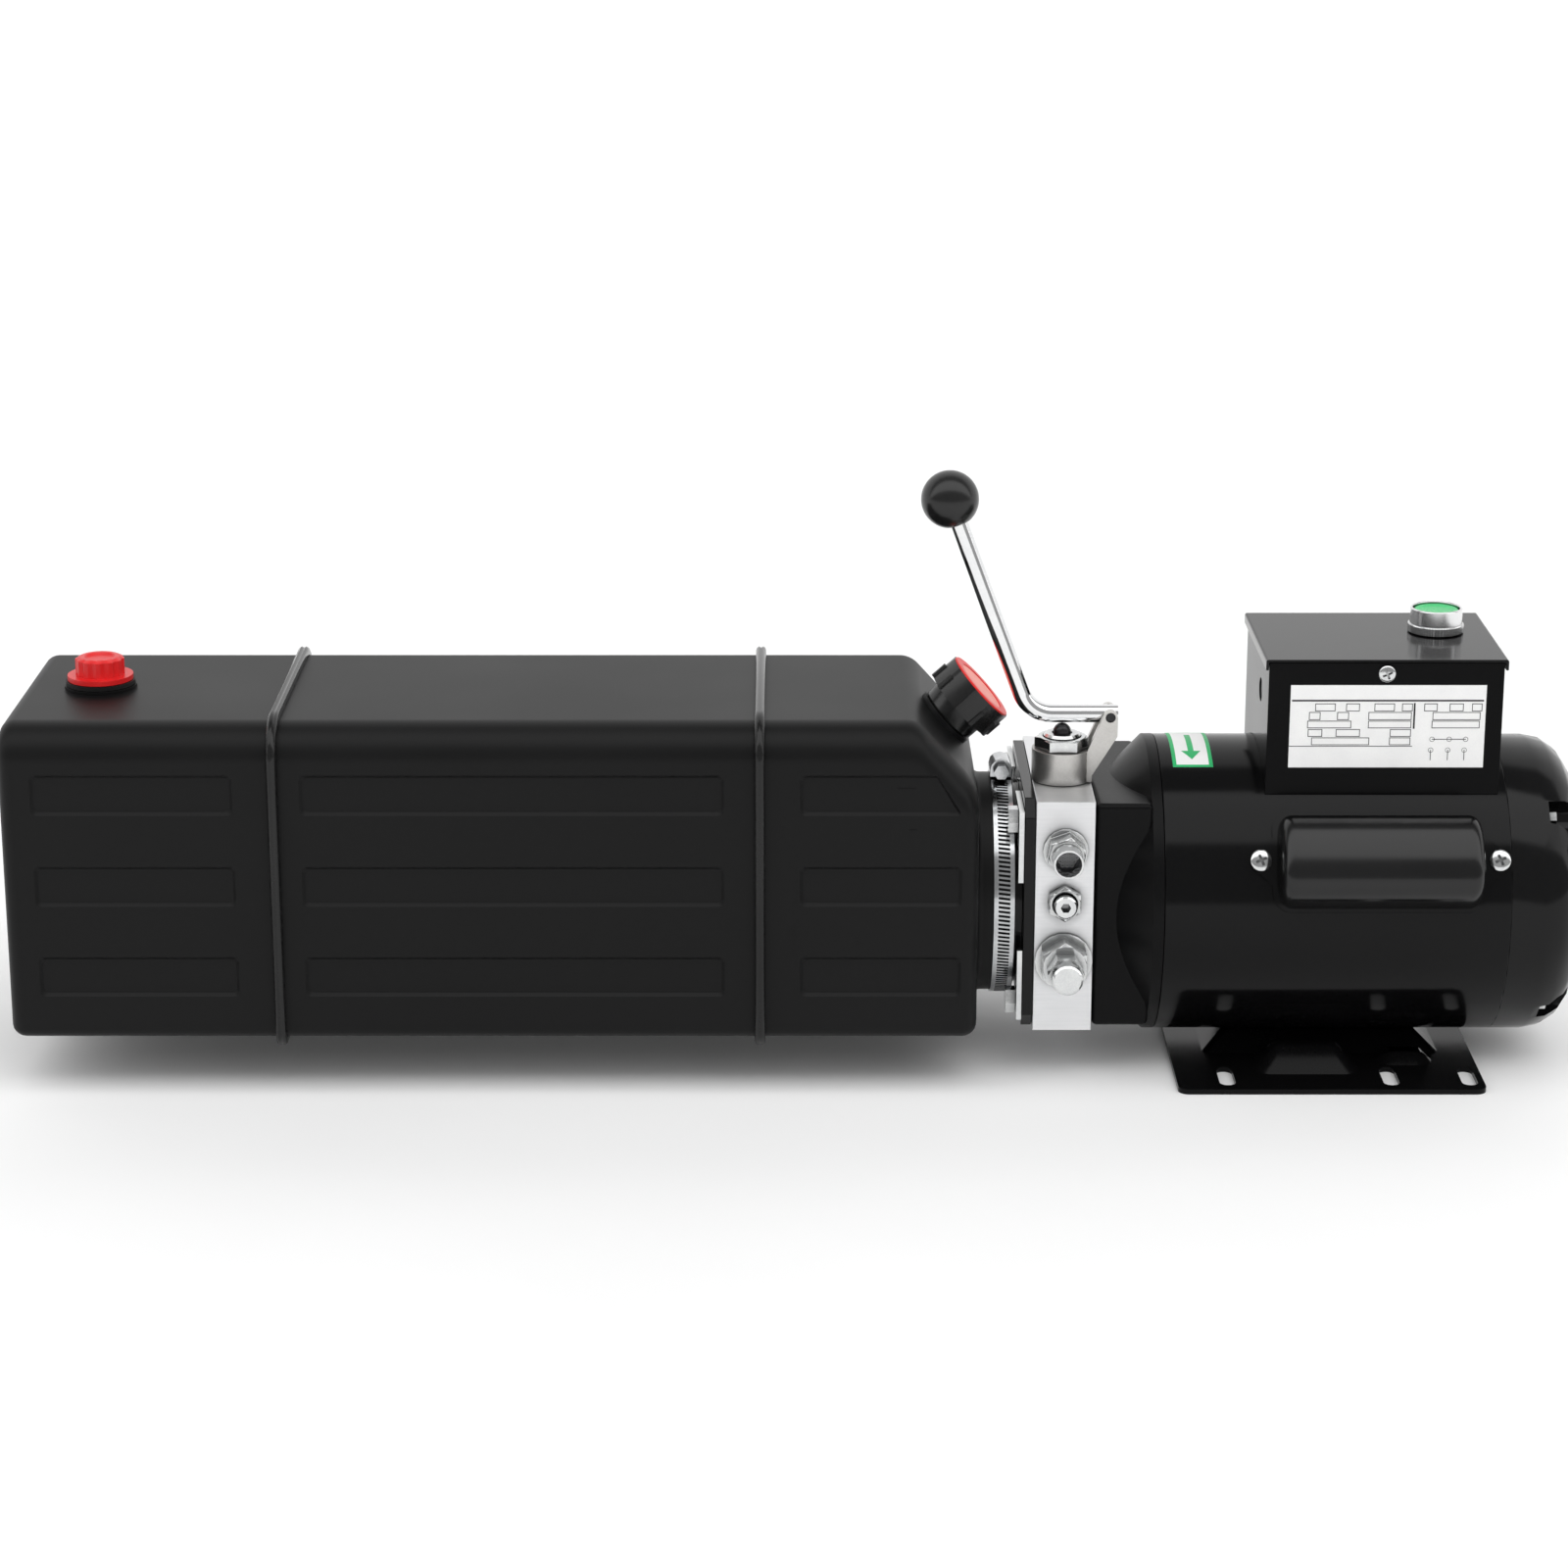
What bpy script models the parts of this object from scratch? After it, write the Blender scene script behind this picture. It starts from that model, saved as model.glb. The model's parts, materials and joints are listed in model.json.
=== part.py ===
# Hydraulic power unit for a vehicle lift: oil tank, valve block with gear pump, and electric motor
# on one shaft line. Metres, +Z up. The shaft runs along X with the tank at -X, and the ports face -Y.
import math

import bmesh
import bpy

for item in list(bpy.data.objects):
    bpy.data.objects.remove(item, do_unlink=True)

# Fits
FIT = 0.0003                    # gap between two fixed pieces that touch
RUNNING = 0.0006                # gap round a piece that turns or slides
PAST = 0.002                    # how far a cut runs past the face it opens

# Facets round a circle; all but the coarsest are in sixes, so that hexagons keep their corners
LARGE = 36
MEDIUM = 24
SMALL = 18
FINE = 12
COARSE = 8                      # round pieces that stay out of sight
STATOR_FACETS = 20              # divides by four, for the stator's flats

# Shaft line, foot plate
AXIS_HEIGHT = 0.0955            # floor to shaft centre
FOOT_LENGTH = 0.169
FOOT_DEPTH = 0.1714
FOOT_THICKNESS = 0.003
FOOT_CORNER = 0.006
SLOT_WIDTH = 0.0088
SLOT_LENGTH = 0.028
SLOT_OFFSET = 0.065             # slot centre from the shaft plane
SLOTS_FROM_LEFT = (0.0278,)     # slot centres from the plate's tank end
SLOTS_FROM_RIGHT = (0.0511, 0.008)
SADDLE_LENGTH = 0.132           # pressed-up seat under the shell, at its base
SADDLE_DEPTH = 0.058
SADDLE_DRAFT = 0.012
HUMP_DRAFT = 0.004
HUMP_CORNER = 0.006
HUMP_SHOULDER = 0.0018
# Centre x, centre y, length, depth, height at the outer side and at the inner side
LONG_HUMP = (-0.011, 0.0461, 0.058, 0.0328, 0.0035, 0.0085)
SHORT_HUMP = (0.0445, 0.0395, 0.032, 0.018, 0.0045, 0.0045)

# Motor
SHELL_PAST_FOOT = 0.010         # shell start ahead of the foot plate
SHELL_LENGTH = 0.1875
SHELL_RADIUS = 0.0825
SHELL_WALL = 0.003
FRONT_BELL_LENGTH = 0.037
BELL_SQUARE = 0.1274
BELL_EDGE = 0.003
BELL_RIM = 0.006                # round rim of the front bell beside the shell
CONE_RISE = 0.024               # how far the 45 degree cone climbs to the rim
REAR_BELL_LENGTH = 0.042
REAR_BELL_ROUND = 0.024
BELL_RECESS_RADIUS = 0.069
FRONT_RECESS_DEPTH = 0.006
REAR_RECESS_DEPTH = 0.012
BOLT_CIRCLE = 0.0745            # through bolts, on the four diagonals
THROUGH_BOLT_RADIUS = 0.0025
THROUGH_BOLT_FLATS = 0.008
THROUGH_BOLT_HEAD = 0.004
THROUGH_BOLT_ENTRY = 0.012      # thread in the front bell
NOTCH_RADIUS = 0.0095
NOTCH_DEPTH = 0.022
BEARING_RADIUS = 0.020
BEARING_WIDTH = 0.012
SHAFT_RADIUS = 0.0098
REAR_SHAFT_RADIUS = 0.0085
SOCKET_RADIUS = 0.0125          # end of the motor shaft that drives the pump shaft
SOCKET_DEPTH = 0.014
SOCKET_SETBACK = 0.004
ROTOR_RADIUS = 0.0443
AIR_GAP = 0.0009
CORE_LENGTH = 0.080
COIL_OVERHANG = 0.016
COIL_RADIUS = 0.066
STATOR_FLAT = 0.0712            # diagonal flats that clear the through bolts

# Capacitor on the front of the shell
COVER_ANGLE = math.radians(25.0)
COVER_FROM_SHELL_END = 0.0715   # cover centre to the shell's rear end
COVER_LENGTH = 0.104
COVER_WIDTH = 0.045
COVER_HEIGHT = 0.0205
COVER_CROWN = 0.010             # rise of the arched top
COVER_ROUND = 0.005
COVER_WALL = 0.0016
COVER_RIM_LENGTH = 0.116
COVER_RIM_WIDTH = 0.0545
COVER_RIM_CORNER = 0.010
COVER_SCREW_SPACING = 0.129
TAB_THICKNESS = 0.0016
TAB_WIDTH = 0.044
TAB_END = 0.010                 # width at the rounded tip
CAPACITOR_LENGTH = 0.088
COVER_SCREW_HEAD = 0.0059
LID_SCREW_HEAD = 0.0048
PAN_HEAD_HEIGHT = 0.0026
PAN_SHANK_RADIUS = 0.002
PAN_SHANK_LENGTH = 0.0035

# Terminal box and start button
BOX_FROM_SHELL_END = 0.0685     # box centre to the shell's rear end
BOX_LENGTH = 0.127
BOX_DEPTH = 0.101
BOX_WALL = 0.0015
LID_TOP = 0.1415                # above the shaft centre
LID_OVERHANG = 0.0016
LID_LIP = 0.006
LID_TAB_WIDTH = 0.030
LID_TAB_DROP = 0.016
LID_SCREW_DROP = 0.0078
KNOCKOUT_RADIUS = 0.0065
KNOCKOUT_DEPTH = 0.0007
KNOCKOUT_DROP = 0.026
KNOCKOUT_FROM_FRONT = 0.034
BUTTON_FROM_RIGHT = 0.0284
BUTTON_OFFSET = 0.0093          # behind the shaft plane
BEZEL_RADIUS = 0.0144
BEZEL_FLANGE_RADIUS = 0.0154
BEZEL_FLANGE_HEIGHT = 0.0053
BEZEL_HEIGHT = 0.0142
BEZEL_STEM_RADIUS = 0.011
BEZEL_STEM_LENGTH = 0.012
BEZEL_RIM = 0.0016
BUTTON_TRAVEL = 0.004
BUTTON_SINK = 0.0012            # green cap below the bezel rim
BUTTON_DISH = 0.0007
BUTTON_STEM_RADIUS = 0.0075
CONTACT_WIDTH = 0.028
CONTACT_HEIGHT = 0.026
CONTACT_BORE_DEPTH = 0.010

# Valve block and its front ports, all on the block's middle plane
BLOCK_THICKNESS = 0.0325
BLOCK_SIZE = 0.131
SHAFT_BORE = 0.0075
OUTLET_HEIGHT = 0.0383
OUTLET_SHANK = 0.008
OUTLET_WASHER = 0.0124
OUTLET_FLATS = 0.019
OUTLET_CORNER = math.radians(20.0)      # where its hexagon came to rest
OUTLET_MOUTH = 0.0083
OUTLET_BORE = 0.007
OUTLET_REACH = 0.026
RELIEF_HEIGHT = 0.0089
RELIEF_FLATS = 0.0174
RELIEF_SHANK = 0.0084
RELIEF_NUT = 0.0056
RELIEF_SCREW_RADIUS = 0.0064
RELIEF_REACH = 0.0112
RELIEF_SOCKET_FLATS = 0.005
CHECK_HEIGHT = -0.0246
CHECK_SHANK = 0.010
CHECK_WASHER = 0.0158
CHECK_FLATS = 0.024
CHECK_END_FLATS = 0.0172
CHECK_END_RADIUS = 0.0085
CHECK_REACH = 0.035
PORT_ENTRY = 0.013              # how deep a fitting sits in the block
CORNER_UP = math.radians(30.0)  # turns a hexagon to stand with a corner at the top

# Release valve on top of the block
RELEASE_OFFSET = -0.020         # valve axis in front of the shaft plane
CARTRIDGE_RADIUS = 0.008
CARTRIDGE_DEPTH = 0.038
STEM_RADIUS = 0.0104
STEM_HEIGHT = 0.0265            # above the block
STEM_CHAMFER = 0.0018
PLUNGER_RADIUS = 0.005
PLUNGER_TIP = 0.032             # above the block
PLUNGER_LENGTH = 0.030
BRACKET_RADIUS = 0.0165
BRACKET_HEIGHT = 0.0177
EAR_THICKNESS = 0.004
EAR_ROUND = 0.004
EAR_HEEL = 0.0107               # straight back edge below the pivot
EAR_ROOT = 0.0044               # where the back edge leaves the foot ring
EAR_FRONT = 0.0132              # front edge at the ring's top, from the valve axis
PIVOT_FROM_VALVE = 0.02575
NUT_FLATS = 0.0262
NUT_HEIGHT = 0.0064
LEVER_RADIUS = 0.005
LEVER_CORNER = 0.044            # pivot to the crank of the lever
LEVER_LEAN = math.radians(20.5)
LEVER_ARM = 0.1281              # crank to knob centre
LEVER_BEND = 0.018
LEVER_TAIL = 0.0045             # rod past the pivot
PIN_RADIUS = 0.0025
PIN_SINK = 0.001
KNOB_RADIUS = 0.0157
KNOB_BORE_DEPTH = 0.022
KNOB_FLAT = 0.0076

# Gear pump, hung on the tank side of the block
GEAR_TEETH = 10
GEAR_MODULE = 0.0024
GEAR_ADDENDUM = 0.002
GEAR_DEDENDUM = 0.0026
GEAR_BACKLASH = 0.0003
GEAR_WIDTH = 0.016
PRESSURE_ANGLE = math.radians(20.0)
PUMP_LENGTH = 0.030
PUMP_WALL = 0.0065
PUMP_COVER = 0.012
PUMP_SHAFT = 0.006
JOURNAL_LENGTH = 0.007
SUCTION_RADIUS = 0.007
SUCTION_BORE = 0.0055
SUCTION_RUN = 0.034
SUCTION_BEND = 0.016
SUCTION_SEAT = 0.004            # how deep the tube sits in cover and filter
FILTER_RADIUS = 0.022
FILTER_HEIGHT = 0.017
FILTER_FLOOR_GAP = 0.003

# Tank flange, corner plates, bolts and hose clamp
FLANGE_THICKNESS = 0.006
FLANGE_CORNER = 0.009
SPIGOT_LENGTH = 0.018
SPIGOT_WALL = 0.005
PLATE_THICKNESS = 0.003
PLATE_INNER = 0.0195
PLATE_TOP_GAP = 0.006
PLATE_EDGE_GAP = 0.0005
PLATE_CLEARANCE = 0.003
FLANGE_BOLT_OFFSET = 0.052
FLANGE_BOLT_RADIUS = 0.004
FLANGE_BOLT_FLATS = 0.013
FLANGE_BOLT_HEAD = 0.0053
FLANGE_BOLT_ENTRY = 0.012
CLAMP_WIDTH = 0.0112
CLAMP_THICKNESS = 0.001
CLAMP_FROM_NECK_END = 0.0006
HOUSING_LENGTH = 0.016
HOUSING_WIDTH = 0.0125
HOUSING_WALL_HEIGHT = 0.0042
WORM_RADIUS = 0.0026
WORM_FLATS = 0.0075
WORM_HEAD = 0.0055

# Tank
TANK_LENGTH = 0.526
TANK_DEPTH = 0.172
TANK_ABOVE_AXIS = 0.1124
TANK_BELOW_AXIS = 0.063
TANK_WALL = 0.004
TANK_EDGE_RADIUS = 0.011
TANK_EDGE_STEPS = 3
CHAMFER_RUN = 0.033
CHAMFER_DROP = 0.0365
CHAMFER_EDGE_RADIUS = 0.014
NECK_RADIUS = 0.061
NECK_LENGTH = 0.0215
NECK_FLARE = 0.004              # fillet where the neck leaves the tank
NECK_STANDOFF = 0.001           # neck end to corner plates
PANEL_HEIGHT = 0.0227
PANEL_PITCH = 0.0513
PANEL_MIDDLE = 0.0241           # middle row above the shaft centre
PANEL_DEPTH = 0.002
PANEL_FROM_HOOP = 0.019
PANEL_FROM_END = 0.0175
HOOP_FROM_END = 0.1475
HOOP_SPACING = 0.2605
HOOP_WIDTH = 0.0058
HOOP_HEIGHT = 0.0048
BREATHER_FROM_END = 0.0435
BREATHER_BORE = 0.010
BREATHER_BOSS_RADIUS = 0.0198
BREATHER_BOSS_HEIGHT = 0.002
BREATHER_SEAL_RADIUS = 0.0192
BREATHER_SEAL_HEIGHT = 0.0022
BREATHER_FLANGE_RADIUS = 0.018
BREATHER_FLANGE_HEIGHT = 0.0028
BREATHER_KNOB_RADIUS = 0.0134
BREATHER_KNOB_HEIGHT = 0.010
BREATHER_FLUTES = 12
BREATHER_FLUTE_DEPTH = 0.0012
BREATHER_STEM_LENGTH = 0.011
FILLER_BORE = 0.0120
FILLER_NECK_RADIUS = 0.0150
FILLER_NECK_HEIGHT = 0.0232
FILLER_BOSS_RADIUS = 0.0176
FILLER_BOSS_HEIGHT = 0.0025
FILLER_RING_START = 0.0034
FILLER_RING_RADIUS = 0.0171
FILLER_CAP_START = 0.0117
FILLER_CAP_HEIGHT = 0.0156
FILLER_CAP_RADIUS = 0.0218
FILLER_RIBS = 10
FILLER_RIB_HEIGHT = 0.0095
FILLER_RIB_DEPTH = 0.0014
FILLER_RIB_WIDTH = 0.0028
FILLER_CAP_TOP = 0.0035
FILLER_DISC_RADIUS = 0.0210
FILLER_DISC_THICKNESS = 0.0016
FILLER_DISC_SEAT = 0.0010

# Places along the shaft, from the foot centre at X = 0, and reach to the sides
shell_start = -FOOT_LENGTH / 2 - SHELL_PAST_FOOT
shell_end = shell_start + SHELL_LENGTH
rear_end = shell_end + REAR_BELL_LENGTH
bell_start = shell_start - FRONT_BELL_LENGTH
block_start = bell_start - BLOCK_THICKNESS
block_middle = bell_start - BLOCK_THICKNESS / 2
block_front = -BLOCK_SIZE / 2
block_top = BLOCK_SIZE / 2
flange_start = block_start - FLANGE_THICKNESS
plate_start = flange_start - PLATE_THICKNESS
neck_end = plate_start - NECK_STANDOFF
tank_end = neck_end - NECK_LENGTH
tank_start = tank_end - TANK_LENGTH
shell_middle = (shell_start + shell_end) / 2
front_reach = BLOCK_SIZE / 2 + CHECK_REACH
back_reach = TANK_DEPTH / 2 + FIT + HOOP_HEIGHT
chamfer_tilt = math.atan2(CHAMFER_DROP, CHAMFER_RUN)
filler_place = (tank_end - CHAMFER_RUN / 2, 0.0, TANK_ABOVE_AXIS - CHAMFER_DROP / 2)
filler_turn = (0.0, chamfer_tilt, 0.0)
breather_place = (tank_start + BREATHER_FROM_END, 0.0, TANK_ABOVE_AXIS)
gear_distance = GEAR_TEETH * GEAR_MODULE
gear_outer = gear_distance / 2 + GEAR_ADDENDUM
pump_end = block_start - FIT
pump_start = pump_end - PUMP_LENGTH
release_place = (block_middle, RELEASE_OFFSET, block_top)
pivot_place = (block_middle + PIVOT_FROM_VALVE, RELEASE_OFFSET, block_top + PLUNGER_TIP + FIT + LEVER_RADIUS)
box_middle = shell_end - BOX_FROM_SHELL_END
button_place = (box_middle + BOX_LENGTH / 2 - BUTTON_FROM_RIGHT, BUTTON_OFFSET, LID_TOP)
cover_turn = (math.pi / 2 - COVER_ANGLE, 0.0, 0.0)
cover_middle = shell_end - COVER_FROM_SHELL_END
cover_place = (cover_middle, -SHELL_RADIUS * math.cos(COVER_ANGLE), SHELL_RADIUS * math.sin(COVER_ANGLE))
slot_places = [place - FOOT_LENGTH / 2 for place in SLOTS_FROM_LEFT]
slot_places += [FOOT_LENGTH / 2 - place for place in SLOTS_FROM_RIGHT]
diagonals = [(side, rise) for side in (-1, 1) for rise in (1, -1)]

# Finishes: colour, roughness, metallic
FINISHES = {
    "tank_plastic": ((0.016, 0.016, 0.017), 0.5, 0.0),
    "hoop_rubber": ((0.02, 0.02, 0.021), 0.3, 0.0),
    "red_plastic": ((0.72, 0.02, 0.03), 0.35, 0.0),
    "orange_plastic": ((0.86, 0.07, 0.04), 0.35, 0.0),
    "black_plastic": ((0.015, 0.015, 0.016), 0.35, 0.0),
    "black_rubber": ((0.012, 0.012, 0.012), 0.7, 0.0),
    "black_paint": ((0.008, 0.008, 0.009), 0.18, 0.0),
    "zinc": ((0.62, 0.63, 0.64), 0.28, 1.0),
    "aluminium": ((0.86, 0.87, 0.88), 0.32, 1.0),
    "cast_zinc": ((0.58, 0.57, 0.55), 0.42, 1.0),
    "chrome": ((0.8, 0.81, 0.82), 0.08, 1.0),
    "black_oxide": ((0.03, 0.03, 0.03), 0.35, 1.0),
    "steel": ((0.5, 0.5, 0.51), 0.35, 1.0),
    "cast_iron": ((0.2, 0.2, 0.2), 0.6, 1.0),
    "copper": ((0.6, 0.28, 0.12), 0.4, 1.0),
    "green_plastic": ((0.02, 0.65, 0.2), 0.2, 0.0),
    "grey_plastic": ((0.3, 0.31, 0.32), 0.5, 0.0),
}

unit = bpy.data.objects.new("unit", None)
unit.location = (-(tank_start + rear_end) / 2, (front_reach - back_reach) / 2, AXIS_HEIGHT)
bpy.context.scene.collection.objects.link(unit)


# Outlines, as lists of two coordinates
def folded(radius_at, count, start=0.0):
    turns = [start + 2 * math.pi * step / count for step in range(count)]
    return [(radius_at(turn) * math.cos(turn), radius_at(turn) * math.sin(turn)) for turn in turns]


def circle(radius, count, start=0.0):
    return folded(lambda turn: radius, count, start)


def first_point(corner, count):
    # Where an outline of so many points starts if one of them is to lie at the corner.
    return corner % (2 * math.pi / count)


def hexagon(flats, count, corner=0.0):
    third = math.pi / 3
    start = first_point(corner, count)
    return folded(lambda turn: flats / 2 / math.cos((turn - corner) % third - third / 2), count, start)


def four_flats(radius, flat, count):
    return folded(lambda turn: min(radius, flat / math.cos(turn % (math.pi / 2) - math.pi / 4)), count)


def fluted(outer, inner, lobes):
    # Each lobe has two points on its crest and one in the dip after it.
    points = []
    for step in range(3 * lobes):
        radius = outer if step % 3 < 2 else inner
        turn = 2 * math.pi * step / (3 * lobes)
        points.append((radius * math.cos(turn), radius * math.sin(turn)))
    return points


def ribbed(radius, rise, ribs, width):
    # A circle with narrow ribs: one point between two ribs, then both feet and both crest corners.
    # With no rise it is a plain circle through the same turns.
    half = width / 2 / radius
    crest = 0.75 * half
    steps = [(-math.pi / ribs, 0.0), (-half, 0.0), (-crest, rise), (crest, rise), (half, 0.0)]
    points = []
    for rib in range(ribs):
        for offset, lift in steps:
            turn = 2 * math.pi * rib / ribs + offset
            points.append(((radius + lift) * math.cos(turn), (radius + lift) * math.sin(turn)))
    return points


def rectangle(width, height, middle=(0.0, 0.0)):
    signs = ((-1, -1), (1, -1), (1, 1), (-1, 1))
    return [(middle[0] + a * width / 2, middle[1] + b * height / 2) for a, b in signs]


def arc(middle, radius, start, end, steps):
    turns = [start + (end - start) * step / steps for step in range(steps + 1)]
    return [(middle[0] + radius * math.cos(turn), middle[1] + radius * math.sin(turn)) for turn in turns]


def stadium(width, length, middle, steps=3):
    half = (length - width) / 2
    upper = arc((middle[0], middle[1] + half), width / 2, 0.0, math.pi, steps)
    lower = arc((middle[0], middle[1] - half), width / 2, math.pi, 2 * math.pi, steps)
    return upper + lower


def rounded_rectangle(width, height, radius, steps=4):
    points = []
    for quarter, (a, b) in enumerate(((1, 1), (-1, 1), (-1, -1), (1, -1))):
        middle = (a * (width / 2 - radius), b * (height / 2 - radius))
        start = quarter * math.pi / 2
        points += arc(middle, radius, start, start + math.pi / 2, steps)
    return points


def inset(points, distance):
    # Moves every side of a convex counter-clockwise outline inwards by the same distance.
    lines = []
    for (ax, ay), (bx, by) in zip(points, points[1:] + points[:1]):
        length = math.hypot(bx - ax, by - ay)
        normal = (-(by - ay) / length, (bx - ax) / length)
        lines.append((normal, normal[0] * ax + normal[1] * ay + distance))
    corners = []
    for (n1, d1), (n2, d2) in zip(lines[-1:] + lines[:-1], lines):
        cross = n1[0] * n2[1] - n1[1] * n2[0]
        corners.append(((d1 * n2[1] - d2 * n1[1]) / cross, (n1[0] * d2 - n2[0] * d1) / cross))
    return corners


def bent_path(start, corner, end, radius, steps):
    # Start to end by way of a corner that is rounded to the radius.
    first = math.atan2(corner[1] - start[1], corner[0] - start[0])
    second = math.atan2(end[1] - corner[1], end[0] - corner[0])
    swing = (second - first + math.pi) % (2 * math.pi) - math.pi
    side = math.copysign(1.0, swing)
    back = radius * math.tan(abs(swing) / 2)
    opens = (corner[0] - back * math.cos(first), corner[1] - back * math.sin(first))
    middle = (opens[0] - side * radius * math.sin(first), opens[1] + side * radius * math.cos(first))
    turn = first - side * math.pi / 2
    return [start] + arc(middle, radius, turn, turn + swing, steps) + [end]


# Solids
def on_axis(axis, first, second, along):
    if axis == "X":
        return (along, first, second)
    if axis == "Y":
        return (first, along, second)
    return (first, second, along)


def loft(loops, closed=False):
    shape = bmesh.new()
    rings = [[shape.verts.new(point) for point in loop] for loop in loops]
    pairs = list(zip(rings, rings[1:]))
    if closed:
        pairs.append((rings[-1], rings[0]))
    else:
        shape.faces.new(rings[0])
        shape.faces.new(rings[-1])
    for near, far in pairs:
        for step in range(len(near)):
            after = (step + 1) % len(near)
            shape.faces.new((near[step], near[after], far[after], far[step]))
    bmesh.ops.recalc_face_normals(shape, faces=shape.faces)
    return shape


def stacked(sections, axis="Z", closed=False):
    # Each section is an outline and how far along the axis it lies.
    loops = [[on_axis(axis, a, b, along) for a, b in outline] for outline, along in sections]
    return loft(loops, closed)


def extruded(outline, start, end, axis="Z"):
    return stacked([(outline, start), (outline, end)], axis)


def turned(profile, count, axis="Z", closed=False):
    return stacked([(circle(radius, count), along) for radius, along in profile], axis, closed)


def tube_along(path, radius, count, bore=None):
    # Sweeps a round section along points of the XZ plane, with an open bore if one is given.
    normals = []
    for step in range(len(path)):
        before = path[max(step - 1, 0)]
        after = path[min(step + 1, len(path) - 1)]
        length = math.hypot(after[0] - before[0], after[1] - before[1])
        normals.append((-(after[1] - before[1]) / length, (after[0] - before[0]) / length))

    def ring(step, size):
        (x, z), (nx, nz) = path[step], normals[step]
        return [(x + nx * a, b, z + nz * a) for a, b in circle(size, count)]

    loops = [ring(step, radius) for step in range(len(path))]
    if bore is None:
        return loft(loops)
    loops += [ring(step, bore) for step in reversed(range(len(path)))]
    return loft(loops, closed=True)


def together(shapes):
    whole = bmesh.new()
    for shape in shapes:
        mesh = bpy.data.meshes.new("piece")
        shape.to_mesh(mesh)
        shape.free()
        whole.from_mesh(mesh)
        bpy.data.meshes.remove(mesh)
    return whole


def moved(shape, x=0.0, y=0.0, z=0.0):
    bmesh.ops.translate(shape, verts=shape.verts, vec=(x, y, z))
    return shape


def softened(shape, width, segments, least=math.radians(40.0)):
    edges = [edge for edge in shape.edges if edge.calc_face_angle() > least]
    bmesh.ops.bevel(shape, geom=edges, offset=width, segments=segments, profile=0.5, affect="EDGES")
    return shape


# Objects
def placed_object(name, shape, place, turn):
    mesh = bpy.data.meshes.new(name)
    shape.to_mesh(mesh)
    shape.free()
    mesh.shade_smooth()
    mesh.set_sharp_from_angle(angle=math.radians(35.0))
    item = bpy.data.objects.new(name, mesh)
    item.parent = unit
    item.location = place
    item.rotation_euler = turn
    bpy.context.scene.collection.objects.link(item)
    return item


def piece(name, shape, finish, place=(0.0, 0.0, 0.0), turn=(0.0, 0.0, 0.0)):
    item = placed_object(name, shape, place, turn)
    colour, roughness, metallic = FINISHES[finish]
    material = bpy.data.materials.new(name + "_" + finish)
    material.use_nodes = True
    shader = material.node_tree.nodes["Principled BSDF"]
    shader.inputs["Base Color"].default_value = (*colour, 1.0)
    shader.inputs["Roughness"].default_value = roughness
    shader.inputs["Metallic"].default_value = metallic
    item.data.materials.append(material)
    return item


def shaped(item, operation, shape, place=None, turn=None):
    tool = placed_object(item.name + "_tool", shape, place or item.location, turn or item.rotation_euler)
    tool.hide_render = True
    tool.display_type = "WIRE"
    step = item.modifiers.new(operation.lower(), "BOOLEAN")
    step.operation = operation
    step.solver = "EXACT"
    step.object = tool


def cut(item, shape, place=None, turn=None):
    shaped(item, "DIFFERENCE", shape, place, turn)


def join(item, shape, place=None, turn=None):
    shaped(item, "UNION", shape, place, turn)


# Tank and what is fixed to it
def tank_form(wall, steps):
    top = TANK_ABOVE_AXIS
    floor = -TANK_BELOW_AXIS
    knee = (0.0, top - CHAMFER_DROP)
    brow = (-CHAMFER_RUN, top)
    outline = inset([(-TANK_LENGTH, floor), (0.0, floor), knee, brow, (-TANK_LENGTH, top)], wall)
    half = TANK_DEPTH / 2 - wall
    shape = extruded(outline, -half, half, "Y")
    slopes = [edge for edge in shape.edges if math.radians(30) < edge.calc_face_angle() < math.radians(60)]
    ease = (CHAMFER_EDGE_RADIUS - wall) * math.tan(math.pi / 8)
    bmesh.ops.bevel(shape, geom=slopes, offset=ease, segments=2, profile=0.5, affect="EDGES")
    return softened(shape, TANK_EDGE_RADIUS - wall, steps, math.radians(60.0))


def panel_outlines():
    left_hoop = -TANK_LENGTH + HOOP_FROM_END
    right_hoop = left_hoop + HOOP_SPACING
    spans = [
        (-TANK_LENGTH + PANEL_FROM_END, left_hoop - PANEL_FROM_HOOP),
        (left_hoop + PANEL_FROM_HOOP, right_hoop - PANEL_FROM_HOOP),
        (right_hoop + PANEL_FROM_HOOP, -PANEL_FROM_END),
    ]
    slope = CHAMFER_RUN / CHAMFER_DROP
    for row in (-1, 0, 1):
        low = PANEL_MIDDLE + row * PANEL_PITCH - PANEL_HEIGHT / 2
        high = low + PANEL_HEIGHT
        for start, end in spans:
            # The end panels lean back where the sloped corner comes down beside them.
            lean_low = max(0.0, low - (TANK_ABOVE_AXIS - CHAMFER_DROP - PANEL_FROM_END)) * slope
            lean_high = max(0.0, high - (TANK_ABOVE_AXIS - CHAMFER_DROP - PANEL_FROM_END)) * slope
            last = end == spans[-1][1]
            corners = [(start, low), (end - last * lean_low, low), (end - last * lean_high, high)]
            yield corners + [(start, high)]


def panel_tools():
    shapes = []
    for outline in panel_outlines():
        for side in (-1, 1):
            face = side * TANK_DEPTH / 2
            outer = inset(outline, -PAST)
            inner = inset(outline, PANEL_DEPTH)
            shapes.append(stacked([(outer, face + side * PAST), (inner, face - side * PANEL_DEPTH)], "Y"))
    return together(shapes)


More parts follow.
